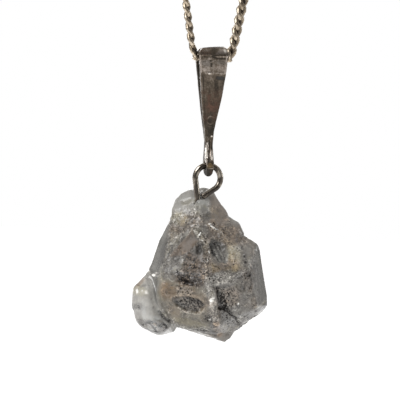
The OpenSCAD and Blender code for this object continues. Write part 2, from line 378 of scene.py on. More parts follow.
@dataclass(frozen=True)
class QuartzFinish:
    """Cloudy quartz with stains, grit, frosting, painted glints and painted shade, clear where its mesh
    says so.
    """

    name: str = "quartz"
    deep: Colour = (0.038, 0.033, 0.028)
    pale: Colour = (0.27, 0.253, 0.226)
    milk: Colour = (0.4, 0.395, 0.37)
    warm: Colour = (1.08, 0.86, 0.69)
    cool: Colour = (0.92, 0.97, 1.0)
    khaki: Colour = (1.12, 1.05, 0.78)
    frost: Colour = (0.6, 0.575, 0.52)
    glint: Colour = (0.85, 0.84, 0.8)
    bead: Colour = (0.26, 0.255, 0.235)
    black: Colour = (0.012, 0.01, 0.009)
    glass: Colour = (0.5, 0.53, 0.53)
    smoke: Colour = (0.32, 0.33, 0.33)
    cloud_mm: float = 2.4
    curd_mm: float = 0.8
    speckle_mm: float = 0.3
    dust_mm: float = 0.17
    bead_mm: float = 0.34
    plate_mm: float = 0.62
    hole_mm: float = 0.85
    index: float = 1.5

    def build(self) -> bpy.types.Material:
        """Makes the material.

        Returns:
            The material.
        """
        kit = NodeKit(bpy.data.materials.new(self.name))
        at = kit.place()
        read = {layer: kit.attribute(layer) for layer in QUARTZ_LAYERS}
        grit, beads = read[Layer.GRIT], read[Layer.BEADS]
        frost, gloss = read[Layer.FROST_AND_GLINT], read[Layer.GLOSS]
        cloud = kit.grain(at, self.cloud_mm, 5, 0.6, 0.6)
        curd = kit.grain(at, self.curd_mm, 4, 0.65, 0.8)
        dust = kit.grain(at, self.dust_mm, 2, 0.6)
        speckle = kit.grain(at, self.speckle_mm, 3, 0.6) * 0.5 + dust * 0.5
        net, chip = kit.cells(at, self.bead_mm), kit.cells(at, self.bead_mm, "Color").step(0, 1)
        plate = kit.cells(at, self.plate_mm, "Color").step(0.2, 0.8)
        hole = kit.cells(at, self.hole_mm).step(0.24, 0.14)
        hole = hole * kit.cells(at, self.hole_mm, "Color").step(0.5, 0.56)
        tone = read[Layer.TONE] + (cloud - 0.5) * 0.5 + (curd - 0.5) * (grit * 1.6 + 0.35)
        tone = tone + (dust - 0.5) * (grit * 0.6 + 0.25)
        tone = tone + (plate - 0.5) * grit * 0.22 + (chip - 0.5) * beads * 0.5
        base = kit.mix(tone, self.deep, self.pale)
        base = kit.mix(read[Layer.MILK] * (curd * 0.5 + 0.7), base, self.milk)
        base = kit.mix(read[Layer.COOL], base, self.cool, "MULTIPLY")
        base = kit.mix(read[Layer.KHAKI] * (curd * 0.8 + 0.6), base, self.khaki, "MULTIPLY")
        base = kit.mix(beads * net.step(0.42, 0.66) * 0.6, base, self.bead)
        # Frost near full paints glints: highlights of the lights on ridges and crystal faces.
        pale = grit * speckle.step(0.54, 0.63) * 0.36 + frost * speckle.step(0.42, 0.58) * 0.8
        base = kit.mix(pale + frost.step(0.75, 1) * 0.4, base, self.frost)
        base = kit.mix(read[Layer.WARM] * (curd * 0.8 + 0.6), base, self.warm, "MULTIPLY")
        base = kit.mix(frost.step(0.8, 1), base, self.glint)
        # Black gathers dark speckles, holes, the beads' seams and the dark layer, painted shade included.
        black = grit * speckle.step(0.47, 0.37) * 0.6 + grit * hole * 0.6
        black = black + beads * net.step(0.46, 0.2) * 0.9
        black = black + read[Layer.DARK] * (speckle.step(0.62, 0.4) * 0.75 + 0.4)
        base = kit.mix(black, base, self.black)
        relief = kit.bump(curd, 0.04)
        relief = kit.bump(speckle * (grit + frost * 0.4) + net * beads * 0.7, 0.06, relief)
        relief = kit.bump(kit.facets(at, self.plate_mm) * (grit * 900 + beads * 500), 1.0, relief)
        body = kit.surface(
            {
                "Base Color": base,
                "Roughness": 0.48 - gloss * 0.26 - plate * grit * 0.18,
                "IOR": self.index,
                "Coat Weight": gloss * 0.7 + grit * plate.step(0.5, 0.9) * 0.5,
                "Coat Roughness": 0.06,
                "Normal": relief,
            }
        )
        clear = kit.surface(
            {
                "Base Color": kit.mix(curd.step(0.35, 0.75), self.glass, self.smoke),
                "Roughness": 0.1,
                "IOR": self.index,
                "Transmission Weight": 1.0,
                "Normal": kit.bump(curd, 0.03),
            }
        )
        # A matte surface for the blackest places, painted shade among them.
        hollow = kit.surface(
            {"Base Color": base, "Roughness": 0.9, "Specular IOR Level": 0.05, "Normal": relief}
        )
        solid = kit.layered(black.step(0.5, 1.2) * 0.85, body, hollow)
        return kit.finish(kit.layered(read[Layer.CLEAR] * (curd.step(0.7, 0.4) * 0.5 + 0.5), solid, clear))


@dataclass(frozen=True)
class FloorFinish:
    """Plain pale paper that glows a little."""

    name: str = "floor_paper"
    colour: Colour = (0.93, 0.93, 0.93)
    other: Colour = (0.95, 0.95, 0.95)
    patch_mm: float = 300
    glow: float = 0.45

    def build(self) -> bpy.types.Material:
        """Makes the material.

        Returns:
            The material.
        """
        kit = NodeKit(bpy.data.materials.new(self.name))
        colour = kit.mix(kit.grain(kit.place(), self.patch_mm, 2), self.colour, self.other)
        glow = {"Emission Color": (1, 1, 1), "Emission Strength": self.glow}
        return kit.finish(kit.surface({"Base Color": colour, "Roughness": 0.9, **glow}))


# Mesh helpers


def smooth_step(value: np.ndarray, low: float, high: float) -> np.ndarray:
    """A smooth rise of an array from 0 at low to 1 at high."""
    share = np.clip((value - low) / (high - low), 0, 1)
    return share * share * (3 - 2 * share)


def new_piece(name: str, mesh_mm: bmesh.types.BMesh, smooth: bool = True) -> bpy.types.Object:
    """Makes an object from a mesh in millimetres.

    Args:
        name: The piece's name.
        mesh_mm: The mesh, which is freed.
        smooth: Whether its faces are shaded smooth.

    Returns:
        The object, at the origin, in metres.
    """
    bmesh.ops.scale(mesh_mm, vec=(MM, MM, MM), verts=mesh_mm.verts)
    mesh = bpy.data.meshes.new(name)
    mesh_mm.to_mesh(mesh)
    mesh_mm.free()
    mesh.polygons.foreach_set("use_smooth", [smooth] * len(mesh.polygons))
    return placed(name, mesh)


def placed(name: str, data: bpy.types.ID) -> bpy.types.Object:
    """An object in the scene for a mesh, a light or a camera.

    Args:
        name: Its name.
        data: The mesh, light or camera.

    Returns:
        The object.
    """
    made = bpy.data.objects.new(name, data)
    bpy.context.scene.collection.objects.link(made)
    return made


def dress(piece: bpy.types.Object, material: bpy.types.Material, body: str) -> None:
    """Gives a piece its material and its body.

    Args:
        piece: The piece.
        material: Its only material.
        body: The CAD body that it moves with.
    """
    piece.data.materials.clear()
    piece.data.materials.append(material)
    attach(piece, body)


def fine_copy(source: bpy.types.Object, voxel_mm: float, rounds: int) -> bmesh.types.BMesh:
    """An even, fine mesh of a CAD node, in millimetres.

    Args:
        source: The CAD node's object.
        voxel_mm: Size of the new mesh's faces.
        rounds: Rounds of smoothing, which soften the edges.

    Returns:
        The new mesh.
    """
    rough = bmesh.new()
    rough.from_mesh(source.data)
    bmesh.ops.remove_doubles(rough, verts=rough.verts, dist=1e-7)
    bmesh.ops.scale(rough, vec=(1 / MM, 1 / MM, 1 / MM), verts=rough.verts)
    mesh = bpy.data.meshes.new("work")
    rough.to_mesh(mesh)
    rough.free()
    work = placed("work", mesh)
    remesh = work.modifiers.new("remesh", "REMESH")
    remesh.mode = "VOXEL"
    remesh.voxel_size = voxel_mm
    goal = bpy.data.objects.new("goal", mesh.copy())
    fit = work.modifiers.new("fit", "SHRINKWRAP")
    fit.target = goal
    soften = work.modifiers.new("soften", "SMOOTH")
    soften.factor = 0.5
    soften.iterations = rounds
    bpy.context.view_layer.update()
    fine = bmesh.new()
    fine.from_object(work, bpy.context.evaluated_depsgraph_get())
    for spare in (work, goal):
        bpy.data.meshes.remove(spare.data)
    return fine


def station(place: Vector, along: Vector, beside: Vector) -> Matrix:
    """A frame at a place, with Z along a tube and Y as near to beside as it can be.

    Args:
        place: The place.
        along: The way along the tube.
        beside: A way that isn't along it.

    Returns:
        The frame.
    """
    along = along.normalized()
    side = beside.cross(along).normalized()
    return Matrix.Translation(place) @ Matrix((side, along.cross(side), along)).transposed().to_4x4()


def round_tube(
    mesh: bmesh.types.BMesh, stations: list[Matrix], radii: list[float], sides: int, closed: bool
) -> None:
    """Sweeps a circle through stations.

    Args:
        mesh: The mesh to add to.
        stations: A frame at each place, with its Z axis along the tube.
        radii: The radius at each place.
        sides: Sides of the circle.
        closed: Whether the last circle joins the first.
    """
    rings = [
        bmesh.ops.create_circle(mesh, segments=sides, radius=radius, matrix=frame, cap_ends=False)["verts"]
        for frame, radius in zip(stations, radii)
    ]
    pairs = list(zip(rings, rings[1:])) + ([(rings[-1], rings[0])] if closed else [])
    for near, far in pairs:
        for k in range(sides):
            mesh.faces.new((near[k], near[(k + 1) % sides], far[(k + 1) % sides], far[k]))
    if not closed:
        for ring in (rings[0], rings[-1]):
            mesh.faces.new(ring)
    bmesh.ops.recalc_face_normals(mesh, faces=mesh.faces)


# Carving and painting


class Sculpt:
    """The points of one fine mesh as arrays, in axes turned to the front of the view."""

    def __init__(self, mesh: bmesh.types.BMesh, top_z: float) -> None:
        """Reads a mesh.

        Args:
            mesh: The mesh in millimetres.
            top_z: Height that the z array is measured from.
        """
        self.mesh = mesh
        mesh.normal_update()
        self.co = np.array([v.co for v in mesh.verts])
        self.normal = np.array([v.normal for v in mesh.verts])
        cos_t, sin_t = math.cos(VIEW_TURN), math.sin(VIEW_TURN)
        self.u = self.co[:, 0] * cos_t + self.co[:, 1] * sin_t
        self.z = self.co[:, 2] - top_z
        self.facing = smooth_step(self.normal[:, 0] * sin_t - self.normal[:, 1] * cos_t, -0.1, 0.25)

    def field(self, size_mm: float, seed: float, octaves: int) -> np.ndarray:
        """Noise at every point, about -1 to 1, with lumps of a size and a shift of the pattern."""
        spots = self.co / size_mm + seed
        return np.array([noise.fractal(Vector(spot), FRACTAL_FALL, FRACTAL_GAP, octaves) for spot in spots])

    def cells(self, size_mm: float, seed: float) -> tuple[np.ndarray, np.ndarray]:
        """Random cells, as the plates of a broken face.

        Args:
            size_mm: Rough size of a cell.
            seed: Shift of the pattern.

        Returns:
            A steady random value for each cell, and the distance to the cell's edge as a share of its size.
        """
        values, edges = [], []
        for place in self.co / size_mm + seed:
            distances, centres = noise.voronoi(Vector(place))
            values.append(noise.cell(centres[0] * CELL_SPREAD))
            edges.append(distances[1] - distances[0])
        return np.array(values), np.array(edges)

    def push(self, amount: np.ndarray) -> None:
        """Moves every point along its normal, outwards where the amount is positive."""
        self.co = self.co + self.normal * amount[:, None]

    def apply(
        self, marks: Iterable[Mark], layers: dict[Layer, np.ndarray], wobble: tuple[np.ndarray, np.ndarray]
    ) -> np.ndarray:
        """Adds marks to the layers.

        Args:
            marks: The marks, later ones over earlier ones.
            layers: Each layer's values, which are changed.
            wobble: Shifts across and up that make the marks' edges uneven.

        Returns:
            How far each point is to stand proud.
        """
        relief = np.zeros(len(self.u))
        for mark in marks:
            strength = mark.place.mask(self, *wobble) * (1 if mark.all_round else self.facing)
            for layer, amount in mark.adds.items():
                layers[layer] = np.clip(layers[layer] + strength * amount, 0, 1)
            relief = relief + strength * mark.depth
        return relief

    def store(self, layers: dict[Layer, np.ndarray]) -> None:
        """Writes the points back, and one number a point for each layer.

        Args:
            layers: Each layer's values.
        """
        for vert, place in zip(self.mesh.verts, self.co.tolist()):
            vert.co = place
        for name, values in layers.items():
            layer = self.mesh.verts.layers.float.new(name.value)
            for vert, value in zip(self.mesh.verts, values.tolist()):
                vert[layer] = value


class Place:
    """A place on the front, across and up in the view's axes, in millimetres, with a soft edge."""

    soft: float

    def inside(self, across: np.ndarray, up: np.ndarray) -> np.ndarray:
        """How far inside the edge each point is, and below 0 outside; each kind of place has its own."""
        raise NotImplementedError

    def mask(self, at: Sculpt, du: np.ndarray | float, dz: np.ndarray | float) -> np.ndarray:
        """Strength from 0 outside to 1 inside.

        Args:
            at: The points.
            du: A wobble across.
            dz: A wobble up.

        Returns:
            The strength at each point.
        """
        return smooth_step(self.inside(at.u + du, at.z + dz), -self.soft / 2, self.soft / 2)


@dataclass(frozen=True)
class Oval(Place):
    """An oval, its edge as soft as a share of its half width."""

    u: float
    z: float
    half_u: float
    half_z: float
    turn: float
    soft: float

    def inside(self, across: np.ndarray, up: np.ndarray) -> np.ndarray:
        """1 at the middle and 0 at the edge.

        Args:
            across: Each point's place across.
            up: Each point's height.

        Returns:
            How far inside each point is.
        """
        angle = math.radians(self.turn)
        across, up = across - self.u, up - self.z
        a = (across * math.cos(angle) + up * math.sin(angle)) / self.half_u
        b = (-across * math.sin(angle) + up * math.cos(angle)) / self.half_z
        return 1 - np.hypot(a, b)


@dataclass(frozen=True)
class Streak(Place):
    """A band along a line of points, its edge as soft as a share of its half width."""

    points: tuple[Point, ...]
    half: float
    soft: float

    def inside(self, across: np.ndarray, up: np.ndarray) -> np.ndarray:
        """1 on the line and 0 at the band's edge.

        Args:
            across: Each point's place across.
            up: Each point's height.

        Returns:
            How far inside each point is.
        """
        nearest = np.full(len(across), FAR)
        for (u0, z0), (u1, z1) in zip(self.points, self.points[1:]):
            length = (u1 - u0) ** 2 + (z1 - z0) ** 2
            share = np.clip(((across - u0) * (u1 - u0) + (up - z0) * (z1 - z0)) / length, 0, 1)
            away = np.hypot(across - u0 - share * (u1 - u0), up - z0 - share * (z1 - z0))
            nearest = np.minimum(nearest, away)
        return 1 - nearest / self.half


@dataclass(frozen=True)
class Patch(Place):
    """A convex polygon, its corners in clockwise order and its soft edge in millimetres."""

    points: tuple[Point, ...]
    soft: float

    def inside(self, across: np.ndarray, up: np.ndarray) -> np.ndarray:
        """Distance inside the nearest side.

        Args:
            across: Each point's place across.
            up: Each point's height.

        Returns:
            How far inside each point is.
        """
        least = np.full(len(across), FAR)
        for (u0, z0), (u1, z1) in zip(self.points, self.points[1:] + self.points[:1]):
            length = math.hypot(u1 - u0, z1 - z0)
            least = np.minimum(least, ((across - u0) * (z1 - z0) - (up - z0) * (u1 - u0)) / length)
        return least


@dataclass(frozen=True)
class Mark:
    """One painted or carved mark: its place, what it adds to each layer, and how far it stands proud."""

    place: Place
    adds: dict[Layer, float]
    depth: float
    all_round: bool


def _mark(place: Place, up: float, around: bool, adds: dict[str, float]) -> Mark:
    """A mark from a place, its depth, whether it goes all round, and amounts by the layers' names."""
    return Mark(place, {Layer(name): amount for name, amount in adds.items()}, up, around)


def oval(
    u: float,
    z: float,
    half_u: float,
    half_z: float,
    turn: float = 0,
    soft: float = 0.7,
    up: float = 0,
    around: bool = False,
    **adds: float,
) -> Mark:
    """An oval mark.

    Args:
        u: Its middle across.
        z: Its middle's height.
        half_u: Half its width.
        half_z: Half its height.
        turn: Its turn in degrees.
        soft: Softness of its edge, as a share of its half width.
        up: How far it stands proud, or below 0 how deep it is.
        around: Whether it is on the sides and the back as well.
        **adds: What it adds to each layer.

    Returns:
        The mark.
    """
    return _mark(Oval(u, z, half_u, half_z, turn, soft), up, around, adds)


def line(
    half: float, *points: Point, soft: float = 0.9, up: float = 0, around: bool = False, **adds: float
) -> Mark:
    """A mark along a line through points, with half its width, and the rest as in oval."""
    return _mark(Streak(points, half, soft), up, around, adds)


def patch(*points: Point, soft: float = 0.4, up: float = 0, **adds: float) -> Mark:
    """A mark in a polygon, with the softness of its edge in millimetres, and the rest as in oval."""
    return _mark(Patch(points, soft), up, False, adds)


def holes(dark: float, up: float, *spots: tuple[float, float, float, float]) -> list[Mark]:
    """Small dark ovals, all as dark and as deep."""
    return [oval(*spot, up=up, dark=dark) for spot in spots]


# Chain and clasp


@dataclass
class Chain:
    """The twisted curb links, each one hooked through the next, along the loop's route."""

    finish: SilverFinish
    lean: float = 10.3
    turn_r: float = 0.8
    turn_x: float = 2.1
    run_rise: float = 0.1
    clasp_half: float = 4.08
    pitch: float = 1.55
    wire_r: float = 0.36
    half_w: float = 0.35
    twist: float = -220.0
    roll_right: float = 20.0
    roll_left: float = 140.0
    corner_dip: float = 0.5
    fold_from: float = -3.2
    fold_to: float = 1.8
    fold_narrow: float = 0.86
    fold_flat: float = 0.42
    left_shift: float = 0.34
    shift_full_x: float = 2
    shift_below: float = 60
    shift_over: float = 100
    wide_right: float = 1.2
    wide_left: float = 0.95
    wide_below: float = 120
    wide_over: float = 60
    flat: float = 0.58
    wire_steps: int = 14
    wire_sides: int = 6
    route_step: float = 0.02
    tarnish: float = 0.35
    inner_shade_and_tarnish: float = 0.65

    def route(self, axis_z: float) -> list[Vector]:
        """Close points along the right half of the loop.

        Args:
            axis_z: Height of the fold's axis.

        Returns:
            Points from under the fold up to the clasp, a route_step apart.
        """
        lean = math.radians(self.lean)
        sweep = math.pi / 2 - lean
        run_z = axis_z + self.run_rise
        count = int(self.turn_x / self.route_step)
        points = [Vector((i * self.route_step, 0, run_z)) for i in range(count)]
        count = int(sweep * self.turn_r / self.route_step)
        for i in range(count):
            a = i * sweep / count
            x, z = self.turn_x + self.turn_r * math.sin(a), run_z + self.turn_r * (1 - math.cos(a))
            points.append(Vector((x, 0, z)))
        leg_x = self.turn_x + self.turn_r * math.cos(lean)
        leg_z = run_z + self.turn_r * (1 - math.sin(lean))
        ratio = (1 + math.sin(lean)) / math.cos(lean)
        leg_len = (-leg_z - ratio * leg_x) / (math.cos(lean) + ratio * math.sin(lean))
        count = int(leg_len / self.route_step)
        for i in range(count):
            s = i * leg_len / count
            points.append(Vector((leg_x + s * math.sin(lean), 0, leg_z + s * math.cos(lean))))
        loop_r = (leg_x + leg_len * math.sin(lean)) / math.cos(lean)
        stop = math.pi / 2 - math.asin(self.clasp_half / loop_r)
        count = int((stop + lean) * loop_r / self.route_step)
        for i in range(count + 1):
            a = -lean + i * (stop + lean) / count
            points.append(Vector((loop_r * math.cos(a), 0, loop_r * (math.sin(a) - 1))))
        return points

    def joints(self, route: list[Vector]) -> list[Vector]:
        """Places a link's length apart along the route, the first half a link from the middle.

        Args:
            route: Close points along the loop's right half.

        Returns:
            The places where links hook through each other.
        """
        found = [Vector((self.pitch / 2, 0, route[0].z))]
        for point in route:
            ahead = point.x > found[-1].x or point.z > found[-1].z
            if ahead and point.x > found[-1].x - self.pitch and (point - found[-1]).length >= self.pitch:
                found.append(point.copy())
        return found

    def link(self) -> bpy.types.Mesh:
        """One twisted oval link, along X, in millimetres.

        Returns:
            The link's mesh, darker on its inner side with painted shade.
        """
        half_l = self.pitch / 2 + self.wire_r
        turn = math.radians(self.twist)
        centre = []
        for k in range(self.wire_steps):
            a = 2 * math.pi * k / self.wire_steps
            x, side = half_l * math.cos(a), self.half_w * math.sin(a)
            roll = turn * x / (2 * half_l)
            centre.append(Vector((x, side * math.cos(roll), side * math.sin(roll))))
        ways = [centre[(k + 1) % self.wire_steps] - centre[k - 1] for k in range(self.wire_steps)]
        stations = [station(place, way, place) for place, way in zip(centre, ways)]
        mesh = bmesh.new()
        round_tube(mesh, stations, [self.wire_r] * self.wire_steps, self.wire_sides, True)
        # Painted shade on the link's inner side, and a lighter outer side, over its tarnish.
        hollow = mesh.verts.layers.float.new(Layer.DARK.value)
        for i, vert in enumerate(mesh.verts):
            place = centre[i // self.wire_sides]
            inward = (place - vert.co).dot(place.normalized()) / self.wire_r
            vert[hollow] = max(0.0, self.tarnish + self.inner_shade_and_tarnish * inward)
        one = bpy.data.meshes.new("link")
        mesh.to_mesh(one)
        mesh.free()
        return one

    def shape(self, middle: Vector) -> tuple[float, float, float]:
        """A link's sizes at its place: slim and flat in the fold, and wider or narrower low on each side.

        Args:
            middle: The link's middle.

        Returns:
            Its width as a share of the usual, its half thickness, and its roll in degrees.
        """
        wide = self.wide_right if middle.x > 0 else self.wide_left
        roll = self.roll_right if middle.x > 0 else self.roll_left
        if self.fold_from < middle.x < self.fold_to:
            return self.fold_narrow, self.fold_flat, roll
        low = min(max((-middle.z - self.wide_below) / self.wide_over, 0), 1)
        return 1 + (wide - 1) * low, self.flat, roll

    def build(self, axis_z: float) -> bpy.types.Object:
        """Makes the whole chain as one piece.

        Args:
            axis_z: Height of the fold's axis.

        Returns:
            The chain.
        """
        right = self.joints(self.route(axis_z))
        right[1].z -= self.corner_dip
        left = []
        for p in reversed(right):
            share = min(p.x / self.shift_full_x, 1, max(0, -p.z - self.shift_below) / self.shift_over)
            left.append(Vector((-p.x - self.left_shift * share, 0, p.z)))
        places = left + right
        one = self.link()
        mesh = bmesh.new()
        mesh.verts.layers.float.new(Layer.DARK.value)
        for near, far in zip(places, places[1:]):
            along = (far - near).normalized()
            middle = (near + far) / 2
            wide, flat, roll = self.shape(middle)
            frame = Matrix((along, DEPTH.cross(along) * wide, DEPTH)).transposed().to_4x4()
            matrix = Matrix.Translation(middle) @ frame @ Matrix.Rotation(math.radians(roll), 4, "X")
            first = len(mesh.verts)
            mesh.from_mesh(one)
            mesh.verts.ensure_lookup_table()
            bmesh.ops.transform(mesh, matrix=matrix, verts=mesh.verts[first:])
            for vert in mesh.verts[first:]:
                vert.co.y = max(-flat, min(flat, vert.co.y))
        bpy.data.meshes.remove(one)
        piece = new_piece("chain_links", mesh)
        dress(piece, self.finish.build(), "necklace")
        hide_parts("chain")
        return piece


@dataclass
class Clasp:
    """The barrel clasp at the top of the loop: bevelled ends, a middle groove and one to each side of it.

    The end's points are distances from it and radii. The shoulder's and the grooves' are distances from
    the end and from the middle, and depths below the barrel's radius.
    """

    finish: SilverFinish
    end: tuple[Point, ...] = ((0.0, 0.0), (0.0, 0.55), (0.12, 0.65))
    shoulder: tuple[Point, ...] = ((0.8, 0.12), (0.95, 0))
    side_groove: tuple[Point, ...] = ((1.3, 0), (1.2, 0.12), (1.05, 0.12), (0.95, 0))
    half_groove: tuple[Point, ...] = ((0.3, 0), (0.2, 0.12), (0, 0.12))
    sides: int = 48

    def build(self) -> bpy.types.Object:
        """Makes the turned barrel.

        Returns:
            The clasp.
        """
        low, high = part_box("clasp")
        half = (high.x - low.x) / 2 / MM
        radius = (high.z - low.z) / 2 / MM
        profile = [*self.end, *((x, radius - sunk) for x, sunk in self.shoulder)]
        profile += [(half - x, radius - sunk) for x, sunk in self.side_groove + self.half_groove]
        profile += [(2 * half - x, r) for x, r in reversed(profile[:-1])]
        mesh = bmesh.new()
        verts = [mesh.verts.new((x - half, 0, r)) for x, r in profile]
        edges = [mesh.edges.new(pair) for pair in zip(verts, verts[1:])]
        round_x = {"cent": (0, 0, 0), "axis": (1, 0, 0), "angle": 2 * math.pi}
        bmesh.ops.spin(mesh, geom=verts + edges, steps=self.sides, use_merge=True, **round_x)
        bmesh.ops.remove_doubles(mesh, verts=mesh.verts, dist=1e-5)
        bmesh.ops.recalc_face_normals(mesh, faces=mesh.faces)
        piece = new_piece("clasp_barrel", mesh)
        dress(piece, self.finish.build(), "necklace")
        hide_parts("clasp")
        return piece


# Bail and eye wire

# Marks on the bail's front, from the top down: tarnish, rust, dents, painted highlights and painted shade.
BAIL_MARKS = (
    line(0.35, (-2.2, -0.15), (0.0, 0.15), (2.3, 0.15), dark=0.35),
    # Painted highlights on the top right corner.
    oval(1.15, -0.95, 0.75, 0.45, 10, soft=0.9, light=0.4),
    oval(1.75, -0.6, 0.3, 0.6, 15, soft=0.9, light=0.7),
    oval(-1.2, -1.0, 0.8, 0.55, soft=0.9, rust=0.6),
    oval(0.2, -0.8, 0.6, 0.5, soft=0.9, dark=0.3),
    line(0.11, (0.0, -1.6), (0.6, -1.45), (1.75, -1.35), dark=0.55, up=-0.015),
    line(0.11, (-0.1, -1.65), (0.6, -1.95), (1.75, -1.85), dark=0.55, up=-0.015),
    line(0.14, (-1.3, -1.65), (-0.2, -1.7), dark=0.3, up=-0.01),
    # Painted shade down the left side, where the fold opens.
    line(0.24, (-2.35, -3.1), (-2.12, -5.5), (-1.72, -9.0), (-1.25, -13.0), dark=1.0),
    patch((-1.7, -2.0), (2.1, -2.1), (2.0, -4.0), (-1.6, -4.0), soft=0.6, light=0.12),
    oval(-1.0, -2.7, 0.7, 0.5, soft=0.9, cool=0.35),
    oval(1.2, -2.5, 0.7, 0.35, soft=0.9, cool=0.3),
    oval(1.2, -3.3, 0.8, 0.4, soft=0.9, rust=0.3),
    oval(-0.35, -2.25, 0.2, 0.13, dark=0.6, up=-0.03),
    line(0.12, (-0.25, -2.7), (-0.2, -3.1), dark=0.5, up=-0.03),
    line(0.1, (-0.1, -2.45), (0.25, -2.35), light=0.25),
    # Painted highlights along the left and right edges and across the fold, and a painted highlight dot.
    line(0.09, (-1.97, -1.6), (-1.85, -3.0), (-1.7, -4.1), light=0.5, up=0.01),
    line(0.07, (-1.65, -4.1), (-1.45, -6.0), (-1.2, -9.0), (-0.9, -13.0), light=0.15),
    line(0.12, (-1.45, -4.6), (-1.25, -7.0), (-0.95, -11.0), dark=0.3),
    line(0.1, (2.05, -1.5), (1.95, -3.0), (1.85, -4.0), light=0.6, up=0.01),
    line(0.12, (-1.1, -4.15), (2.0, -4.1), light=0.25, up=0.01),
    oval(-0.45, -4.2, 0.2, 0.18, light=0.7, up=0.02),
    oval(-1.2, -3.75, 0.2, 0.3, light=0.4, up=0.01),
    patch((-1.5, -4.4), (2.0, -4.4), (0.9, -13.2), (-1.0, -13.2), soft=0.8, dark=0.12),
    oval(1.2, -4.8, 0.6, 0.32, soft=0.9, cool=0.35),
    oval(1.2, -4.85, 0.65, 0.28, soft=0.9, dark=1.0),
    line(0.3, (0.6, -5.3), (0.7, -7.5), dark=0.3),
    line(0.15, (-0.4, -6.5), (-0.3, -9.0), dark=0.25),
    patch((-1.2, -8.0), (1.3, -8.0), (0.7, -14.4), (-0.8, -14.4), soft=2.0, dark=0.35),
    patch((-1.3, -7.0), (1.5, -7.0), (1.0, -11.0), (-1.0, -11.0), soft=2.0, rust=0.55),
    oval(0.75, -6.6, 0.12, 0.14, dark=0.8, up=-0.05),
    line(0.1, (-0.6, -10.95), (-0.15, -10.6), (0.4, -10.7), light=0.5, up=0.01),
    line(0.09, (-0.5, -11.5), (-0.1, -11.75), (0.3, -11.55), light=0.4, up=0.01),
    line(0.09, (-0.35, -12.1), (0.2, -12.15), light=0.3, up=0.01),
    oval(-0.15, -11.15, 0.19, 0.26, soft=0.9, dark=1.0, up=-0.05),
    # The flutes: painted highlights on their ridges and painted shade in the groove between them.
    line(0.18, (-0.45, -13.7), (-0.2, -14.6), light=0.3, up=0.02),
    oval(0.25, -13.5, 0.17, 0.12, light=1.0, up=0.02),
    line(0.19, (-0.45, -14.6), (-0.5, -15.8), (-0.42, -16.8), light=0.95, up=0.06),
    line(0.13, (-0.1, -14.2), (-0.05, -16.0), (0.0, -17.6), dark=0.8, up=-0.08),
    line(0.16, (0.27, -15.9), (0.32, -17.0), light=0.92, up=0.06),
    oval(0.38, -15.3, 0.17, 0.24, -35, dark=0.95, up=-0.06),
    line(0.12, (-0.75, -14.6), (-0.85, -17.0), dark=0.5),
    line(0.15, (-0.4, -17.2), (-0.35, -18.2), light=0.4, up=0.02),
    oval(0.1, -17.8, 0.5, 0.5, soft=0.9, dark=0.3),
    oval(0.1, -17.6, 0.34, 0.22, soft=0.8, dark=0.35),
    oval(0.1, -17.95, 0.4, 0.36, soft=0.8, gold=0.32),
    line(0.1, (-0.2, -18.25), (0.5, -18.25), dark=0.5, up=-0.02),
    # A painted highlight where the ring curves under.
    line(0.08, (-0.05, -18.45), (0.45, -18.4), light=0.6, up=0.02),
    # Painted shade on the tip's underside, all round.
    oval(0.0, -19.15, 1.1, 0.7, soft=0.5, dark=1.0, around=True),
    oval(-0.3, -19.2, 0.4, 0.5, cool=0.1),
    oval(0.35, -18.9, 0.25, 0.3, rust=0.2),
    oval(-0.15, -19.25, 0.35, 0.35, soft=0.8, dark=0.9),
)

# Painted highlights, painted shade and a painted dark reflection on the wire's front, from the top down.
WIRE_MARKS = (
    line(0.2, (-1.35, -18.5), (-0.7, -18.1), (0.5, -18.1), (1.2, -18.6), dark=0.5),
    # Painted highlights on the eye's upper left and upper right.
    line(0.12, (-1.83, -18.65), (-1.48, -18.2), light=0.85),
    line(0.13, (1.3, -18.3), (1.68, -18.85), (1.83, -19.5), light=0.82),
    line(0.22, (1.6, -21.2), (0.4, -22.0), (-0.6, -22.5), dark=0.5),
    # A painted highlight and a painted dark reflection along the stem.
    line(0.09, (-1.65, -20.0), (-1.5, -21.2), (-1.35, -22.1), light=0.5),
    line(0.14, (-1.9, -20.8), (-1.75, -22.4), (-1.6, -23.4), dark=0.45),
)


@dataclass
class Bail:
    """The folded strip, with wear, dents and tarnish, and with painted highlights and painted shade."""

    finish: SilverFinish
    voxel: float = 0.075
    rounds: int = 3
    length: float = 18.0
    lean: float = 0.27
    widen: float = 0.04
    ring_below: float = 18.3
    ring_most: float = 1.2
    ring_narrow: float = 0.22
    drop: float = 0.22
    wobble: float = 0.08
    broad_dents: float = 0.03
    small_dents: float = 0.008

    def build(self, source: bpy.types.Object, top_z: float) -> bpy.types.Object:
        """Makes the bail.

        Args:
            source: The CAD bail.
            top_z: Height of the bail's top.

        Returns:
            The dressed bail.
        """
        mesh = fine_copy(source, self.voxel, self.rounds)
        for vert in mesh.verts:
            up = min(max((vert.co.z - top_z + self.length) / self.length, 0), 1)
            down = min(max(top_z - self.ring_below - vert.co.z, 0), self.ring_most)
            vert.co.x = vert.co.x * (1 + self.widen * up - self.ring_narrow * down) - self.lean * up
            vert.co.z -= self.drop * down
        at = Sculpt(mesh, top_z)
        broad = at.field(2.2, seed=3.1, octaves=2)
        small = at.field(0.5, seed=8.7, octaves=3)
        wobble = (small * self.wobble, at.field(0.5, seed=15.2, octaves=3) * self.wobble)
        layers = {layer: np.zeros(len(at.u)) for layer in SILVER_LAYERS}
        dents = broad * self.broad_dents + small * self.small_dents
        at.push(dents + at.apply(BAIL_MARKS, layers, wobble))
        at.store(layers)
        piece = new_piece("bail_strip", at.mesh)
        dress(piece, self.finish.build(), "bail")
        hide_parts("bail")
        return piece


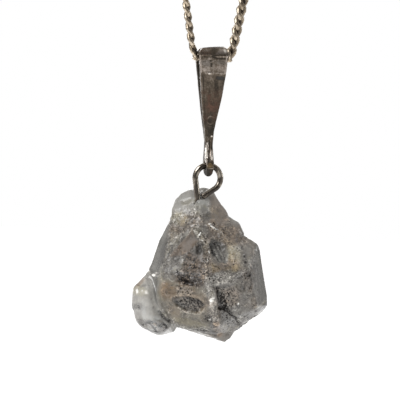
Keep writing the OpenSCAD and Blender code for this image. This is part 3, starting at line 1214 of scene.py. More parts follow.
@dataclass
class EyeWire:
    """The bent wire: straight stem, round eye and cut tail."""

    finish: SilverFinish
    wire_r: float = 0.455
    thinner: float = 0.008
    bevel: float = 0.05
    eye_r: float = 1.93
    lean: float = 9.0
    shift: float = 0.12
    close: float = 56.0
    stem_len: float = 7.4
    stem_steps: int = 12
    eye_steps: int = 56
    tail_len: float = 2.25
    tail_shares: tuple[float, ...] = (0.25, 0.5, 0.75, 0.93, 1.0)
    sides: int = 28
    wobble: float = 0.05

    def rings(self, centre: Vector) -> list[tuple[Vector, Vector, float]]:
        """Each ring's place, the way along the wire there and its radius, from the stem to the tail.

        Args:
            centre: Middle of the eye, in millimetres.

        Returns:
            The rings.
        """
        lean, close = math.radians(self.lean), math.radians(self.close)
        centre = centre - Vector((self.shift, 0, 0))
        down = Vector((math.sin(lean), 0, -math.cos(lean)))
        left = centre + Vector((-self.eye_r * math.cos(lean), 0, -self.eye_r * math.sin(lean)))
        straight_r = self.wire_r - self.thinner
        rings = []
        for i in range(self.stem_steps):
            rings.append((left + down * self.stem_len * (1 - i / self.stem_steps), -down, straight_r))
        for i in range(self.eye_steps + 1):
            a = math.pi + lean - i * (math.pi + lean + close) / self.eye_steps
            place = centre + Vector((math.cos(a), 0, math.sin(a))) * self.eye_r
            rings.append((place, Vector((math.sin(a), 0, -math.cos(a))), self.wire_r))
        last, along, _ = rings[-1]
        for share in self.tail_shares:
            radius = straight_r - (self.bevel if share == 1 else 0)
            rings.append((last + along * self.tail_len * share, along, radius))
        return rings

    def build(self, centre: Vector, top_z: float) -> bpy.types.Object:
        """Makes the wire.

        Args:
            centre: Middle of the eye, in millimetres.
            top_z: Height of the bail's top.

        Returns:
            The dressed wire.
        """
        rings = self.rings(centre)
        mesh = bmesh.new()
        stations = [station(place, way, DEPTH) for place, way, _ in rings]
        round_tube(mesh, stations, [radius for _, _, radius in rings], self.sides, False)
        at = Sculpt(mesh, top_z)
        wobble = (
            at.field(0.4, seed=4.4, octaves=2) * self.wobble,
            at.field(0.4, seed=9.9, octaves=2) * self.wobble,
        )
        layers = {layer: np.zeros(len(at.u)) for layer in SILVER_LAYERS}
        at.apply(WIRE_MARKS, layers, wobble)
        at.store(layers)
        piece = new_piece("eye_wire_bent", at.mesh)
        dress(piece, self.finish.build(), "drop")
        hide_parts("eye_wire")
        return piece


# Stone

# The borders of the stone's smooth parts: heights, and how far across each border is there.
LOBE_EDGE = ((-44, -41.7, -40, -38, -35.5, -34.2), (-4.0, -5.2, -6.5, -7.4, -7.9, -8.2))
FLANK_EDGE = ((-34.4, -31.5, -29.3, -26.9, -25), (-6.9, -5.9, -5.7, -5.6, -6.0))
BAND_EDGE = ((-38, -33, -29), (7.8, 7.4, 7.0))
LOBE_SEAM = Streak(((-7.9, -34.9), (-7.5, -37.0), (-6.9, -39.0), (-6.2, -40.4), (-5.2, -41.6)), 0.6, 0.9)

# Lines and faces of the stone that more than one mark uses.
GREY_FACE = ((-1.6, -23.6), (0.0, -23.7), (0.2, -24.9), (-1.3, -25.5))
RIGHT_FACE = ((0.3, -22.5), (1.6, -22.5), (3.4, -26.0), (2.4, -27.0), (0.6, -26.3))
CREST = ((-1.56, -27.57), (-0.15, -29.4), (0.3, -31.0), (0.35, -33.0), (0.5, -35.3), (1.0, -36.8))
LEAF_RIM = ((1.41, -27.47), (2.45, -28.07), (2.73, -28.94), (3.39, -29.55), (3.68, -30.55), (4.0, -32.0))
SPINE = ((1.0, -36.5), (1.17, -37.7), (1.48, -39.1), (1.9, -41.3))
WEDGE_SIDE = ((1.75, -35.7), (3.5, -35.7), (4.1, -38.0), (3.4, -39.4), (2.25, -38.95))
FOOT_BAND = ((-4.4, -42.2), (-1.13, -43.0), (1.6, -43.8))
LOBE_RIM = ((-7.6, -35.5), (-7.3, -37.5), (-6.7, -39.4))

# The smooth top, its grey patch and the painted highlights along the creases below it.
CROWN = (
    oval(-1.25, -24.05, 1.3, 0.95, soft=1.1, milk=0.1, up=0.75),
    # Painted shade in the hole where the stem goes in.
    oval(-1.4, -23.45, 0.5, 0.22, -5, dark=0.75),
    oval(-0.5, -21.9, 1.2, 0.6, soft=1.2, tone=0.4, up=0.28, around=True),
    # A painted glint beside the tail's end.
    oval(-0.86, -22.04, 0.2, 0.17, frost=1.0, up=0.05),
    oval(-2.9, -23.5, 1.0, 0.4, 4, soft=0.9, dark=0.22, up=-0.1),
    oval(-2.9, -23.6, 1.1, 0.5, 4, khaki=0.4),
    line(0.09, (-3.5, -24.02), (-1.7, -23.88), frost=0.6, up=0.02),
    line(0.09, (-1.78, -23.6), (-1.72, -24.4), (-1.6, -25.1), frost=0.55, up=0.03),
    oval(-3.2, -24.7, 0.8, 0.5, -20, soft=0.9, frost=0.3),
    patch(*GREY_FACE, soft=0.3, tone=0.2, cool=0.3),
    patch(*GREY_FACE, soft=0.5, grit=-0.6),
    line(0.09, (0.0, -23.8), (0.15, -24.9), (-1.3, -25.55), frost=0.36, up=0.03),
    patch(*RIGHT_FACE, soft=0.6, grit=-0.6),
    patch(
        (0.3, -21.5), (1.6, -22.5), (3.4, -26.0), (2.4, -27.0), (0.2, -26.3), soft=0.9, milk=-0.5,
        tone=0.08
    ),
    patch(*RIGHT_FACE, soft=0.9, warm=0.55),
    oval(1.68, -24.7, 0.4, 0.2, -20, dark=0.45),
    # A painted highlight streak along the crease.
    line(0.18, (0.37, -26.76), (0.89, -27.05), (1.41, -27.47), frost=1, up=0.12),
    line(0.13, (-1.37, -25.55), (-0.39, -26.72), (0.4, -26.8), frost=0.5, up=0.08),
    oval(-4.1, -26.1, 1.3, 1.0, -15, soft=0.8, khaki=0.7, grit=0.3),
    oval(-4.1, -26.0, 1.2, 0.9, -15, soft=0.8, tone=0.35),
    oval(-4.1, -26.0, 1.4, 1.1, -15, soft=0.8, warm=-0.6),
    patch(
        (-3.7, -25.4), (-1.2, -25.3), (-0.2, -27.0), (-2.1, -27.6), (-4.6, -29.0), soft=0.8, warm=0.35,
        grit=0.4
    ),
    *holes(0.9, -0.05, (-3.2, -26.6, 0.15, 0.15), (-2.2, -26.5, 0.13, 0.15), (-1.6, -27.0, 0.14, 0.12)),
    line(0.9, (2.2, -26.2), (4.0, -27.6), (5.2, -28.6), warm=0.1),
    oval(3.8, -27.2, 1.6, 1.2, -35, soft=1.0, beads=-0.7, tone=0.1),
    line(0.7, (-6.5, -28.0), (-6.9, -31.0), (-7.4, -33.6), cool=0.4),
    oval(-6.3, -30.6, 0.4, 1.4, 8, soft=0.9, dark=0.25),
    oval(-6.5, -27.8, 0.4, 1.2, 20, soft=0.9, tone=0.12),
    line(0.26, (-5.7, -27.0), (-6.2, -29.0), (-6.9, -31.0), (-7.6, -33.6), tone=0.2),
    line(0.2, (-5.4, -28.4), (-5.9, -30.4), (-6.5, -32.8), dark=0.16),
    line(0.7, (-5.4, -26.6), (-6.2, -28.0), (-6.7, -29.2), soft=1.6, up=0.12, around=True),
)

# The smooth triangle, the crest beside it with painted glints, the small pit, the holes and the dark lens.
MIDDLE = (
    patch(
        (-2.1, -27.6), (-1.3, -29.3), (-2.0, -30.3), (-3.2, -31.3), (-5.4, -31.8), soft=0.3, grit=-0.8,
        dark=-0.5, frost=-0.5, warm=0.8
    ),
    patch((-2.1, -27.2), (0.0, -30.6), (-1.8, -33.0), (-6.6, -33.2), soft=0.6, gloss=-1.0),
    patch((-2.1, -27.6), (-0.3, -30.6), (-1.8, -32.6), (-6.4, -32.9), soft=1.0, tone=-0.18),
    line(0.09, (-2.1, -27.46), (-3.38, -29.25), (-4.4, -30.64), (-5.9, -32.6), frost=0.2, up=0.04),
    line(0.1, (-2.1, -27.46), (-1.2, -28.6), (-0.9, -29.2), frost=0.32, up=0.05),
    line(0.5, (-1.56, -27.57), (-0.93, -28.22), (-0.15, -29.4), (0.25, -30.9), khaki=0.4),
    line(0.36, *CREST, frost=0.2, up=0.12),
    line(0.45, *CREST, grit=0.6),
    line(0.1, (0.15, -31.3), (0.05, -33.0), (0.5, -35.3), frost=0.36, up=0.05),
    line(0.1, (0.35, -31.5), (0.3, -33.0), (0.75, -35.3), dark=0.4),
    # Painted glints on the crest.
    oval(-1.0, -28.3, 0.16, 0.26, -30, frost=1, up=0.06),
    oval(0.42, -30.8, 0.15, 0.24, frost=1, up=0.06),
    oval(0.2, -32.1, 0.12, 0.2, frost=0.9, up=0.06),
    oval(-1.05, -30.5, 0.85, 1.1, -5, soft=0.8, cool=0.7, dark=0.25, up=-0.12),
    oval(-1.1, -30.3, 0.36, 0.75, -6, soft=0.9, dark=0.7, up=-0.3),
    patch((-5.2, -27.2), (-3.6, -28.4), (-5.2, -31.2), (-6.0, -31.4), soft=0.5, khaki=0.4, grit=0.4),
    oval(-5.05, -30.7, 0.16, 0.2, dark=0.95, up=-0.06),
    oval(-5.3, -30.3, 0.1, 0.1, frost=0.9),
    oval(-5.95, -33.04, 0.17, 0.12, dark=0.9, up=-0.06),
    patch(
        (-2.5, -30.9), (-1.0, -31.6), (0.0, -34.2), (-0.3, -35.6), (-4.4, -35.4), soft=0.5, warm=0.9,
        tone=-0.26
    ),
    patch((-2.5, -30.9), (-1.3, -31.6), (-0.6, -34.0), (-3.9, -34.0), soft=0.5, beads=0.45, up=-0.1),
    patch((-2.5, -31.2), (-1.3, -31.8), (-0.5, -34.6), (-4.2, -34.6), soft=0.8, dark=0.3),
    *holes(0.8, -0.05, (-2.45, -31.9, 0.17, 0.15), (-1.75, -32.1, 0.19, 0.15), (-3.0, -32.6, 0.15, 0.14)),
    *holes(0.7, -0.05, (-2.2, -32.8, 0.14, 0.13), (-1.5, -33.0, 0.15, 0.13)),
    line(0.12, (-4.0, -33.9), (-2.4, -34.0), (-0.9, -34.2), dark=0.5, up=-0.05),
    oval(-2.4, -35.1, 2.2, 0.8, -12, soft=0.8, warm=0.6),
    oval(-2.4, -35.0, 2.0, 0.7, -12, soft=0.8, tone=-0.25),
    oval(-2.4, -35.0, 1.8, 0.6, -12, soft=0.9, dark=0.7),
    line(0.36, (-3.6, -35.05), (-2.9, -35.35), (-2.0, -35.55), soft=0.7, dark=1.0, up=-0.35),
    line(0.2, (-3.5, -35.15), (-2.7, -35.45), (-2.0, -35.6), soft=0.5, dark=1.0, up=-0.1),
    line(0.18, (-3.9, -34.5), (-2.1, -34.45), (-0.65, -34.95), dark=0.6, up=-0.1),
    line(0.12, (-3.46, -34.96), (-1.84, -35.12), (-0.76, -35.2), dark=0.7, up=-0.08),
    line(0.14, (-4.1, -33.6), (-3.8, -34.6), dark=0.7, up=-0.05),
    oval(-4.96, -34.28, 0.22, 0.12, -20, dark=0.8),
    oval(-4.77, -35.82, 0.16, 0.16, dark=0.7),
    line(0.1, (-5.6, -34.9), (-4.7, -35.3), frost=0.36),
)

# The leaf-shaped pit with painted shade at its upper left, the yellow grit, the frosted ridge and the
# smooth right edge.
RIGHT = (
    patch(
        (0.83, -28.7), (2.0, -29.1), (3.4, -31.2), (3.2, -32.3), (2.1, -32.2), (1.0, -31.1), (0.6, -29.9),
        cool=0.8, grit=-0.75, tone=-0.2, warm=-0.6, up=-0.4
    ),
    # Painted shade at the pit's upper left.
    line(0.22, (0.7, -29.7), (1.02, -30.4), (1.35, -30.95), dark=0.85, up=-0.15),
    oval(1.45, -29.5, 0.6, 0.35, -45, soft=0.9, dark=0.45),
    oval(2.4, -31.2, 1.2, 0.8, -45, soft=0.8, tone=0.25),
    line(0.12, (1.1, -29.3), (1.9, -30.5), (2.6, -31.8), dark=0.6, up=-0.06),
    line(0.1, (1.9, -29.5), (2.6, -30.6), (3.0, -31.6), dark=0.5, up=-0.05),
    line(0.1, (1.0, -30.2), (1.55, -31.1), (2.1, -32.0), dark=0.5, up=-0.05),
    line(0.09, (1.35, -29.2), (2.2, -30.4), (2.9, -31.9), frost=0.45),
    line(0.09, (1.2, -30.1), (1.8, -31.1), (2.3, -32.0), frost=0.45),
    line(0.08, (2.2, -29.8), (2.9, -30.9), (3.25, -31.9), frost=0.35),
    line(0.4, *LEAF_RIM, khaki=0.5),
    line(0.3, *LEAF_RIM, frost=0.29, up=0.08),
    oval(4.3, -31.2, 0.95, 1.9, 18, soft=1.0, frost=0.22, khaki=0.6, tone=0.6, grit=0.3),
    *holes(
        0.95, -0.06, (3.77, -29.53, 0.17, 0.14), (2.57, -27.93, 0.16, 0.14), (5.3, -29.98, 0.17, 0.16),
        (5.73, -31.23, 0.18, 0.16), (5.89, -32.23, 0.15, 0.2)
    ),
    oval(4.55, -30.13, 0.34, 0.28, frost=0.43, up=0.05),
    oval(4.55, -30.1, 0.14, 0.12, dark=0.6, up=-0.05),
    oval(1.2, -33.1, 0.9, 0.6, -20, khaki=0.9, beads=0.8, tone=0.25),
    oval(4.0, -33.1, 1.1, 0.5, 10, khaki=0.8, tone=0.15),
    oval(2.7, -34.4, 2.2, 0.9, 8, soft=0.8, warm=-0.8, dark=-0.4),
    oval(2.7, -34.6, 1.8, 0.8, 8, soft=0.8, frost=0.45, grit=0.5, tone=0.15, up=0.05),
    line(
        0.26, (1.41, -35.36), (2.9, -35.0), (4.08, -34.32), (5.32, -33.77), (6.3, -33.1), (6.63, -31.7),
        frost=0.32, up=0.1
    ),
    patch((5.4, -28.7), (7.4, -29.8), (7.3, -31.6), (6.2, -31.6), soft=0.6, tone=0.2, grit=-0.5),
    line(0.07, (5.2, -28.6), (6.9, -29.8), (7.3, -31.5), frost=0.35),
    line(0.07, (5.0, -29.0), (6.5, -30.2), (6.8, -31.6), frost=0.2),
    line(0.1, (5.6, -29.2), (6.9, -30.3), (7.1, -31.6), dark=0.3),
    line(0.4, (4.6, -34.4), (5.6, -34.15), (6.6, -34.4), soft=1.2, dark=0.45),
    line(0.2, (6.13, -35.2), (5.65, -35.95), dark=0.6),
    line(0.16, (7.01, -34.9), (6.66, -35.9), dark=0.6),
    line(0.4, (6.3, -33.9), (7.6, -32.8), dark=0.4),
    line(0.8, (2.6, -24.6), (4.4, -26.4), (5.4, -27.8), (7.6, -29.4), soft=1.6, up=0.14, around=True),
    line(
        0.5, (9.2, -38.9), (7.5, -40.3), (5.5, -41.8), (4.0, -43.4), soft=1.0, dark=0.2, up=0.14,
        around=True
    ),
    line(0.7, (8.0, -31.0), (8.6, -38.0), cool=0.3),
    line(0.09, (7.5, -30.5), (8.1, -34.0), (8.4, -38.0), frost=0.12),
    line(0.16, (8.1, -31.5), (8.8, -37.8), dark=0.12),
    line(0.16, (9.3, -38.2), (8.3, -31.9), (7.6, -29.8), dark=0.3),
    oval(7.0, -38.0, 0.8, 0.7, tone=0.2),
    line(0.2, (7.5, -39.0), (8.4, -38.6), (9.1, -38.0), khaki=0.9),
    line(0.1, (7.5, -38.9), (8.4, -38.5), (9.0, -37.9), frost=0.29),
    oval(9.15, -38.8, 0.35, 0.5, -40, soft=1.0, dark=0.35),
)

# The frosted oval pit, the white band, painted glints, the wedge with its painted shadow, and the foot.
LOWER = (
    patch(
        (-6.6, -34.8), (0.2, -36.2), (0.9, -41.8), (-2.6, -42.4), (-5.4, -40.4), (-6.9, -37.5), soft=0.8,
        khaki=0.5, grit=-0.35
    ),
    oval(-5.5, -36.6, 1.2, 1.1, soft=0.9, warm=0.9),
    oval(-5.2, -36.9, 0.6, 0.5, soft=0.9, dark=0.25),
    oval(-4.3, -39.8, 1.0, 0.8, -40, soft=0.9, warm=0.5),
    oval(-2.1, -38.55, 2.75, 1.45, -9, soft=0.5, tone=0.12, up=0.03),
    line(0.1, (-4.7, -38.1), (-4.4, -37.6), (-2.8, -37.2), (-1.2, -37.3), (-0.2, -37.9), frost=0.35),
    line(0.13, (-3.8, -39.25), (-1.9, -39.9), (-0.3, -39.75), (0.3, -39.0), frost=0.5, up=0.05),
    oval(-2.25, -38.5, 2.3, 1.02, -9, soft=0.3, tone=-0.3, up=-0.45),
    oval(-2.25, -38.5, 2.2, 0.95, -9, soft=0.3, dark=0.36, khaki=-0.8, cool=0.9),
    oval(-2.25, -38.5, 2.1, 0.88, -9, soft=0.3, beads=1.0),
    oval(-4.3, -37.75, 0.5, 0.22, -25, soft=0.9, dark=0.5, up=-0.05),
    oval(-0.45, -39.35, 0.6, 0.3, 20, soft=0.9, beads=-0.8, tone=0.2, up=0.1),
    oval(-0.5, -38.5, 0.6, 0.45, soft=0.8, dark=0.45),
    oval(-1.3, -38.0, 0.8, 0.35, -5, soft=0.8, dark=0.4),
    oval(-1.37, -40.7, 0.9, 0.25, -6, soft=0.9, dark=0.35),
    oval(0.75, -40.6, 0.65, 0.5, -30, soft=1.1, dark=0.8, up=-0.12),
    line(0.2, (-0.1, -39.9), (0.45, -40.35), (1.35, -41.1), dark=0.5),
    line(0.15, (0.2, -41.1), (0.7, -40.5), (1.3, -40.1), dark=0.4),
    # A painted glint.
    oval(0.9, -40.72, 0.2, 0.17, frost=1, up=0.1),
    oval(-1.8, -41.4, 2.8, 0.5, -12, khaki=0.5),
    line(0.13, (-1.1, -42.35), (0.5, -42.5), dark=0.6),
    line(0.09, (-1.3, -42.1), (0.6, -42.25), frost=0.36),
    line(0.6, *SPINE, tone=0.12, up=0.1),
    line(0.5, *SPINE, frost=0.25, up=0.06),
    line(0.55, *SPINE, grit=0.6),
    # Painted glints on the spine.
    oval(1.12, -37.9, 0.3, 0.7, -8, frost=0.6),
    oval(1.1, -37.6, 0.16, 0.25, -8, frost=0.9),
    line(0.5, (1.9, -41.4), (2.4, -42.9), warm=0.9),
    # The wedge: painted shadow where the right block steps back.
    patch(*WEDGE_SIDE, soft=1.2, dark=0.35),
    patch(*WEDGE_SIDE, soft=1.0, grit=0.5),
    patch(
        (1.7, -36.0), (2.6, -36.0), (3.3, -38.0), (3.5, -39.3), (2.3, -39.0), soft=0.7, dark=0.6, up=-0.35
    ),
    line(0.16, (1.78, -36.0), (1.95, -37.4), (2.3, -38.95), soft=0.5, dark=1.0, up=-0.1),
    line(0.11, (2.4, -39.0), (3.5, -39.4), (4.6, -40.5), (5.3, -41.2), soft=0.5, dark=1.0, up=-0.08),
    line(0.08, (2.6, -39.25), (3.4, -39.75), (4.3, -40.7), frost=0.4),
    patch((1.9, -35.9), (3.2, -35.9), (3.9, -38.0), (3.7, -39.3), (2.7, -39.0), soft=0.7, beads=0.5),
    patch((2.1, -35.9), (3.2, -35.9), (3.9, -38.0), (3.7, -39.3), (2.9, -39.0), soft=0.7, frost=0.25),
    line(0.22, (2.25, -39.0), (3.4, -39.1), (4.8, -40.5), dark=0.8, up=-0.2),
    line(0.15, (4.8, -40.5), (5.5, -41.3), dark=0.5, up=-0.1),
    oval(4.0, -37.2, 1.3, 1.4, -20, soft=0.8, beads=0.8, warm=0.6),
    oval(4.2, -37.2, 1.2, 1.3, -20, soft=0.8, tone=0.12),
    oval(4.75, -38.8, 0.9, 0.7, soft=0.8, beads=0.6),
    # A painted glint.
    oval(5.05, -38.28, 0.2, 0.18, frost=1, up=0.08),
    line(0.12, (4.4, -38.5), (4.3, -39.1), (4.9, -39.4), frost=0.36),
    patch((2.3, -39.3), (3.5, -39.5), (4.4, -41.0), (3.1, -41.4), dark=0.4, beads=0.8),
    oval(5.84, -40.7, 0.6, 0.45, soft=0.9, frost=0.22),
    patch(
        (2.7, -42.1), (3.7, -41.6), (5.6, -41.6), (3.9, -43.6), (3.2, -44.6), (1.4, -44.0), (2.2, -43.3),
        grit=-0.7, tone=0.25
    ),
    line(0.5, *FOOT_BAND, tone=0.25),
    line(0.6, *FOOT_BAND, grit=-0.7),
    line(0.6, (-4.4, -42.2), (-1.13, -43.0), (1.6, -43.8), (3.4, -44.2), cool=0.5),
    line(0.09, (-3.6, -41.9), (-1.0, -42.7), (1.6, -43.4), frost=0.29),
    line(0.14, (9.2, -38.9), (7.5, -40.15), (5.5, -41.5), (3.9, -43.0), frost=0.25),
    line(0.1, (9.3, -39.2), (7.6, -40.45), (5.6, -41.85), (4.0, -43.4), dark=0.3),
)

# The clear lobe on the left: painted highlights and a painted warm glow at its top, smudges, dark veins,
# painted shade along its outline, and painted glints.
LOBE = (
    patch((-10.8, -34.2), (-7.2, -34.2), (-6.8, -39.5), (-10.9, -39.5), soft=3.0, tone=0.3),
    # Painted highlights at the lobe's top.
    oval(-10.5, -36.9, 0.2, 0.5, soft=0.9, frost=0.4),
    oval(-9.95, -37.0, 0.2, 0.5, soft=0.9, frost=0.6),
    oval(-9.15, -37.0, 0.35, 0.16, -35, frost=0.5),
    line(0.12, (-9.9, -36.3), (-9.3, -36.45), (-8.8, -36.2), dark=0.4),
    line(0.08, (-9.0, -35.5), (-8.5, -36.7), (-8.3, -37.6), frost=0.45),
    line(0.1, (-8.7, -35.3), (-8.2, -36.6), dark=0.35),
    oval(-9.8, -37.2, 1.0, 0.4, -10, soft=0.9, frost=0.5),
    oval(-9.6, -37.0, 1.2, 0.7, -10, soft=0.9, khaki=0.6),
    # A painted warm glow.
    oval(-9.7, -35.9, 0.8, 0.45, 40, soft=0.9, warm=0.7),
    oval(-9.7, -35.9, 0.7, 0.35, 40, soft=0.9, dark=0.25),
    line(0.1, (-8.9, -35.3), (-8.1, -36.3), frost=0.43),
    line(0.09, (-8.3, -35.0), (-7.95, -36.2), frost=0.36),
    oval(-8.5, -37.3, 0.35, 0.15, -30, frost=0.43),
    oval(-8.9, -36.8, 0.3, 0.12, 40, frost=0.36),
    oval(-9.5, -39.4, 1.1, 0.42, -8, soft=0.9, dark=0.3),
    oval(-10.1, -39.45, 0.9, 0.5, 15, soft=0.9, dark=0.5),
    line(0.45, *LOBE_RIM, soft=1.0, tone=0.15),
    line(0.5, *LOBE_RIM, soft=1.0, dark=-0.6),
    line(0.8, (-8.2, -34.2), (-9.9, -35.5), (-10.8, -37.0), (-10.6, -39.0), soft=1.6, up=0.14, around=True),
    line(0.8, (-10.0, -41.6), (-8.6, -42.9), (-6.0, -43.4), (-5.0, -42.9), soft=1.6, up=0.2, around=True),
    *holes(0.35, 0, (-7.52, -39.42, 0.16, 0.2), (-7.75, -38.1, 0.12, 0.16)),
    oval(-8.3, -40.7, 1.5, 0.6, soft=0.9, tone=0.1),
    patch(
        (-10.2, -41.3), (-6.4, -41.2), (-4.0, -42.4), (-6.0, -44.0), (-9.4, -43.2), soft=0.7, milk=-0.4,
        tone=-0.25
    ),
    oval(-7.0, -42.1, 1.9, 0.6, -8, warm=0.4),
    line(0.15, (-8.9, -41.9), (-7.8, -41.5), (-7.0, -41.7), dark=0.95, up=-0.06),
    line(0.14, (-7.9, -41.7), (-7.3, -42.2), (-6.9, -42.7), dark=1.0, up=-0.06),
    line(0.13, (-6.9, -42.3), (-6.5, -41.8), (-6.0, -41.6), dark=0.6),
    oval(-6.3, -42.1, 0.35, 0.3, 30, dark=0.85),
    line(0.15, (-6.0, -41.7), (-5.4, -42.1), (-5.8, -42.6), dark=0.8, up=-0.04),
    line(0.13, (-8.4, -42.4), (-7.6, -42.8), (-6.6, -42.9), dark=0.7),
    line(0.1, (-7.4, -41.75), (-6.9, -42.1), (-6.7, -42.5), frost=0.5),
    line(0.12, (-8.6, -42.2), (-8.0, -42.5), frost=0.4),
    # Painted shade along the lobe's outline.
    line(0.17, (-10.3, -41.0), (-9.6, -42.2), (-8.9, -42.8), (-7.6, -43.3), dark=0.7),
    line(0.16, (-9.9, -35.6), (-10.75, -37.0), (-10.65, -39.5), (-10.0, -41.7), dark=0.4),
    line(0.09, (-8.0, -35.4), (-7.5, -38.0), (-6.6, -40.0), (-5.3, -41.7), frost=0.29),
    line(0.6, (-7.3, -35.2), (-6.9, -38.0), (-6.0, -39.8), grit=-0.8, cool=0.4),
    line(0.24, (-6.6, -39.9), (-5.9, -40.8), (-5.0, -41.5), dark=0.8, up=-0.08),
    line(0.11, (-6.0, -40.1), (-4.6, -41.4), (-2.65, -42.1), frost=0.36, up=0.05),
    oval(-4.7, -42.3, 0.9, 0.35, -8, tone=0.2),
    # Painted glints where the lobe meets the block.
    oval(-7.5, -34.7, 0.32, 0.22, frost=1, up=0.1),
    oval(-7.15, -34.3, 0.18, 0.12, frost=0.9, up=0.05),
    oval(-8.3, -34.3, 0.3, 0.2, frost=0.5, up=0.05),
    line(0.09, (-8.2, -34.6), (-7.7, -34.4), (-6.9, -34.7), frost=0.5, up=0.04),
)


@dataclass
class Stone:
    """The rough quartz, with its pits, ridges, stains and clear parts, and painted glints and painted
    shade.
    """

    finish: QuartzFinish
    voxel: float = 0.122
    rounds: int = 4
    swell: float = 0.07
    plate_tilt: float = 0.09
    chip_tilt: float = 0.04
    broad_relief: float = 0.05
    fine_relief: float = 0.02
    wobble: float = 0.12
    lobe_rounds: int = 50
    lobe_u: float = -7.6
    lobe_z: float = -34.6

    def smooth_lobe(self, mesh: bmesh.types.BMesh, top_z: float) -> None:
        """Rounds the lobe and its seam with the block.

        Args:
            mesh: The stone's mesh, in millimetres.
            top_z: Height of the bail's top.
        """
        at = Sculpt(mesh, top_z)
        soft = np.maximum(LOBE_SEAM.mask(at, 0, 0), (at.u < self.lobe_u) & (at.z < self.lobe_z)) > 0.5
        verts = [vert for vert, chosen in zip(mesh.verts, soft) if chosen]
        every_way = {"use_axis_x": True, "use_axis_y": True, "use_axis_z": True}
        for _ in range(self.lobe_rounds):
            bmesh.ops.smooth_vert(mesh, verts=verts, factor=0.5, **every_way)

    def build(self, source: bpy.types.Object, top_z: float) -> bpy.types.Object:
        """Makes the stone.

        Args:
            source: The CAD stone.
            top_z: Height of the bail's top.

        Returns:
            The dressed stone.
        """
        mesh = fine_copy(source, self.voxel, self.rounds)
        self.smooth_lobe(mesh, top_z)
        at = Sculpt(mesh, top_z)
        broad, coarse = at.field(4.5, seed=1.7, octaves=2), at.field(1.3, seed=6.1, octaves=3)
        fine, ripple = at.field(0.45, seed=11.3, octaves=2), at.field(0.9, seed=23.9, octaves=3)
        plate, edge = at.cells(1.15, seed=4.4)
        chip, _ = at.cells(0.48, seed=9.1)
        layers = self.general_layers(at, broad, coarse, ripple)
        grit = layers[Layer.GRIT].copy()
        seam = smooth_step(-edge, -0.12, 0.0) * smooth_step(coarse, -0.1, 0.3)
        layers[Layer.FROST_AND_GLINT] = np.clip(layers[Layer.FROST_AND_GLINT] + seam * grit * 0.3, 0, 1)
        layers[Layer.DARK] = np.clip(layers[Layer.DARK] + smooth_step(chip, 0.86, 0.9) * grit * 0.4, 0, 1)
        wobble = (coarse * self.wobble + fine * 0.11, ripple * self.wobble + fine * 0.1)
        relief = (plate - 0.5) * self.plate_tilt * grit + (chip - 0.5) * self.chip_tilt * grit
        relief = relief + broad * self.broad_relief + fine * self.fine_relief * grit + self.swell
        for marks in (CROWN, MIDDLE, RIGHT, LOWER, LOBE):
            relief = relief + at.apply(marks, layers, wobble)
        at.push(relief)
        at.store(layers)
        piece = new_piece("stone_quartz", at.mesh)
        dress(piece, self.finish.build(), "drop")
        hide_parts("stone")
        return piece

    def general_layers(
        self, at: Sculpt, broad: np.ndarray, coarse: np.ndarray, ripple: np.ndarray
    ) -> dict[Layer, np.ndarray]:
        """Layers that cover the whole stone, front, sides and back, with painted shade on the undersides.

        Args:
            at: The points.
            broad: Slow noise.
            coarse: Noise of a millimetre or so.
            ripple: Finer noise.

        Returns:
            Each layer's value at each point.
        """
        lobe = smooth_step(np.interp(at.z, *LOBE_EDGE) - at.u, -0.15, 0.15) * smooth_step(-at.z, 33.8, 34.4)
        flank = smooth_step(np.interp(at.z, *FLANK_EDGE) - at.u, -0.25, 0.35) * (1 - lobe)
        dome = smooth_step(at.z - at.u * 0.2, -24.6, -23.7)
        band = smooth_step(at.u - np.interp(at.z, *BAND_EDGE), -0.2, 0.5)
        busy = 1 - np.clip(lobe + dome + flank + band, 0, 1)
        pane = smooth_step(at.cells(5.5, seed=2.6)[0], 0.5, 0.52) * (1 - at.facing) * busy
        busy = busy - pane * 0.75
        # Painted shade on the undersides: a darker tone and more dark.
        under = smooth_step(-at.normal[:, 2], 0.1, 0.75)
        tone = 0.33 * busy + 0.64 * lobe + 0.42 * dome + 0.13 * flank
        tone = tone + 0.19 * band + 0.25 * pane - 0.1 * under
        layers = {
            Layer.TONE: tone,
            Layer.CLEAR: lobe * 0.28 + dome * 0.12 + flank * 0.16 + pane * 0.2 + broad * 0.05,
            Layer.GLOSS: 1 - busy * (0.75 + coarse * 0.4) - dome * 0.4,
            Layer.MILK: lobe * 0.25 + dome * 0.32 * (1 - lobe),
            Layer.GRIT: busy * (0.62 + coarse * 0.6),
            Layer.BEADS: smooth_step(coarse + broad, 0.5, 0.8) * busy,
            Layer.DARK: smooth_step(ripple + broad * 0.4, 0.45, 0.8) * 0.5 * busy + under * 0.35,
            Layer.FROST_AND_GLINT: smooth_step(coarse - broad * 0.5, 0.3, 0.7) * 0.3 * busy,
            Layer.WARM: smooth_step(broad + coarse * 0.3, -0.1, 0.5) * 0.6 * busy,
            Layer.KHAKI: smooth_step(ripple - broad, 0.45, 1.0) * 0.5 * busy,
            Layer.COOL: smooth_step(ripple * 0.3 - broad, 0.1, 0.7) * 0.3 + flank * 0.4 + lobe * 0.1,
        }
        return {layer: np.clip(values, 0, 1) for layer, values in layers.items()}


# Studio


@dataclass(frozen=True)
class Softbox:
    """A square area light that faces the stone, its place measured from the aim, in millimetres."""

    name: str
    place: tuple[float, float, float]
    side: float
    watts: float


SOFTBOXES = (
    Softbox("key", (-280, -140, 260), 260, 1.3),
    Softbox("side", (330, -60, 90), 100, 0.15),
    Softbox("back", (60, 330, 120), 300, 0.8),
)


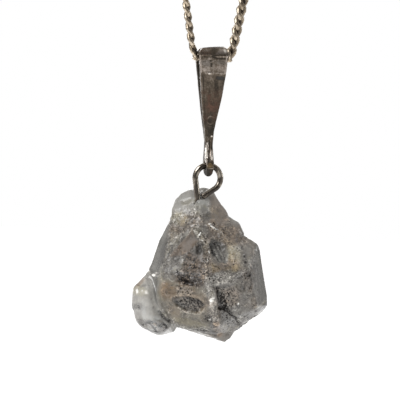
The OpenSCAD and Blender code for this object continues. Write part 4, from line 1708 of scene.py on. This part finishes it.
@dataclass
class Studio:
    """The camera, the lights, the world and the floor."""

    aim: Vector = field(default_factory=lambda: Vector((-1.133, 0.272, -225.92)))
    field_mm: float = 60.0
    lens: float = 180.0
    sensor: float = 36.0
    clip_m: tuple[float, float] = (0.005, 20)
    roll: float = 2.2
    daylight: Colour = (1.0, 0.985, 0.965)
    floor_z: float = -300.0
    floor_r: float = 4000.0
    floor_sides: int = 64

    def camera(self) -> None:
        """Sets the camera to the photograph's view."""
        data = bpy.data.cameras.new("view")
        data.lens = self.lens
        data.sensor_width = self.sensor
        data.clip_start, data.clip_end = self.clip_m
        distance = self.lens * self.field_mm / self.sensor
        back = Vector((math.sin(VIEW_TURN), -math.cos(VIEW_TURN), 0))
        level = Vector((math.cos(VIEW_TURN), math.sin(VIEW_TURN), 0))
        upright = Vector((0, 0, 1))
        roll = math.radians(self.roll)
        right = level * math.cos(roll) + upright * math.sin(roll)
        up = upright * math.cos(roll) - level * math.sin(roll)
        turned = Matrix((right, up, back)).transposed().to_4x4()
        camera = placed("view", data)
        camera.matrix_world = Matrix.Translation((self.aim + back * distance) * MM) @ turned
        bpy.context.scene.camera = camera

    def light(self, box: Softbox) -> None:
        """Hangs one softbox.

        Args:
            box: The softbox.
        """
        data = bpy.data.lights.new(box.name, "AREA")
        data.size = box.side * MM
        data.energy = box.watts
        offset = Vector(box.place)
        turned = offset.to_track_quat("Z", "Y").to_matrix().to_4x4()
        placed(box.name, data).matrix_world = Matrix.Translation((self.aim + offset) * MM) @ turned

    def world(self) -> None:
        """White behind the object, and a soft studio gradient for everything else."""
        kit = NodeKit(bpy.data.worlds.new("studio"))
        way = kit.add("ShaderNodeTexCoord", output="Generated")
        rise = kit.add("ShaderNodeSeparateXYZ", {0: way}, "Z").step(-0.5, 0.7) * 0.6 + 0.3
        front = kit.add("ShaderNodeSeparateXYZ", {0: way}, "Y").step(-0.95, 0.0) * 0.78 + 0.22
        soft = kit.add("ShaderNodeBackground", {"Color": self.daylight, "Strength": rise * front})
        white = kit.add("ShaderNodeBackground", {"Color": (1, 1, 1)})
        seen = kit.add("ShaderNodeLightPath", output="Is Camera Ray")
        bpy.context.scene.world = kit.finish(kit.layered(seen, soft, white))

    def floor(self) -> None:
        """A wide pale floor below the stone."""
        mesh = bmesh.new()
        bmesh.ops.create_circle(mesh, segments=self.floor_sides, radius=self.floor_r, cap_ends=True)
        bmesh.ops.translate(mesh, verts=mesh.verts, vec=(0, 0, self.floor_z))
        piece = new_piece("floor", mesh, smooth=False)
        piece.data.materials.append(FloorFinish().build())

    def build(self) -> None:
        """Sets up everything that isn't the object."""
        self.camera()
        self.world()
        self.floor()
        for box in SOFTBOXES:
            self.light(box)
        scene = bpy.context.scene
        scene.view_settings.view_transform = "Standard"
        scene.view_settings.look = "None"


CHAIN_SILVER = SilverFinish(
    "chain_silver",
    (0.62, 0.54, 0.44),
    (0.24, 0.195, 0.14),
    (0.035, 0.027, 0.02),
    0.42,
    rough_low=0.22,
    rough_high=0.42,
)
BAIL_SILVER = SilverFinish(
    "bail_silver", (0.3, 0.26, 0.228), (0.113, 0.091, 0.069), (0.028, 0.023, 0.017), 0.52, matte_where_dark=0.85
)
WIRE_METAL = SilverFinish(
    "wire_metal",
    (0.32, 0.288, 0.242),
    (0.1, 0.085, 0.069),
    (0.027, 0.022, 0.018),
    0.48,
    rough_low=0.13,
    rough_high=0.3,
    dent_mm=0.004,
)


def main() -> None:
    """Builds every piece in order."""
    logging.basicConfig(level=logging.INFO, format="%(name)s: %(message)s")
    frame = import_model()
    nodes = frame["nodes"]
    pivots = {joint["name"]: Vector(joint["pos_m"]) / MM for joint in frame["joints"]}
    top_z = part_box("bail")[1].z / MM
    Studio().build()
    makers: list[Callable[[], bpy.types.Object]] = [
        lambda: Chain(CHAIN_SILVER).build(pivots["bail_swing"].z),
        lambda: Clasp(CHAIN_SILVER).build(),
        lambda: Bail(BAIL_SILVER).build(nodes["bail"], top_z),
        lambda: EyeWire(WIRE_METAL).build(pivots["drop_swing"], top_z),
        lambda: Stone(QuartzFinish()).build(nodes["stone"], top_z),
    ]
    for make in makers:
        piece = make()
        log.info("%s: %d faces", piece.name, len(piece.data.polygons))


if __name__ == "__main__":
    main()
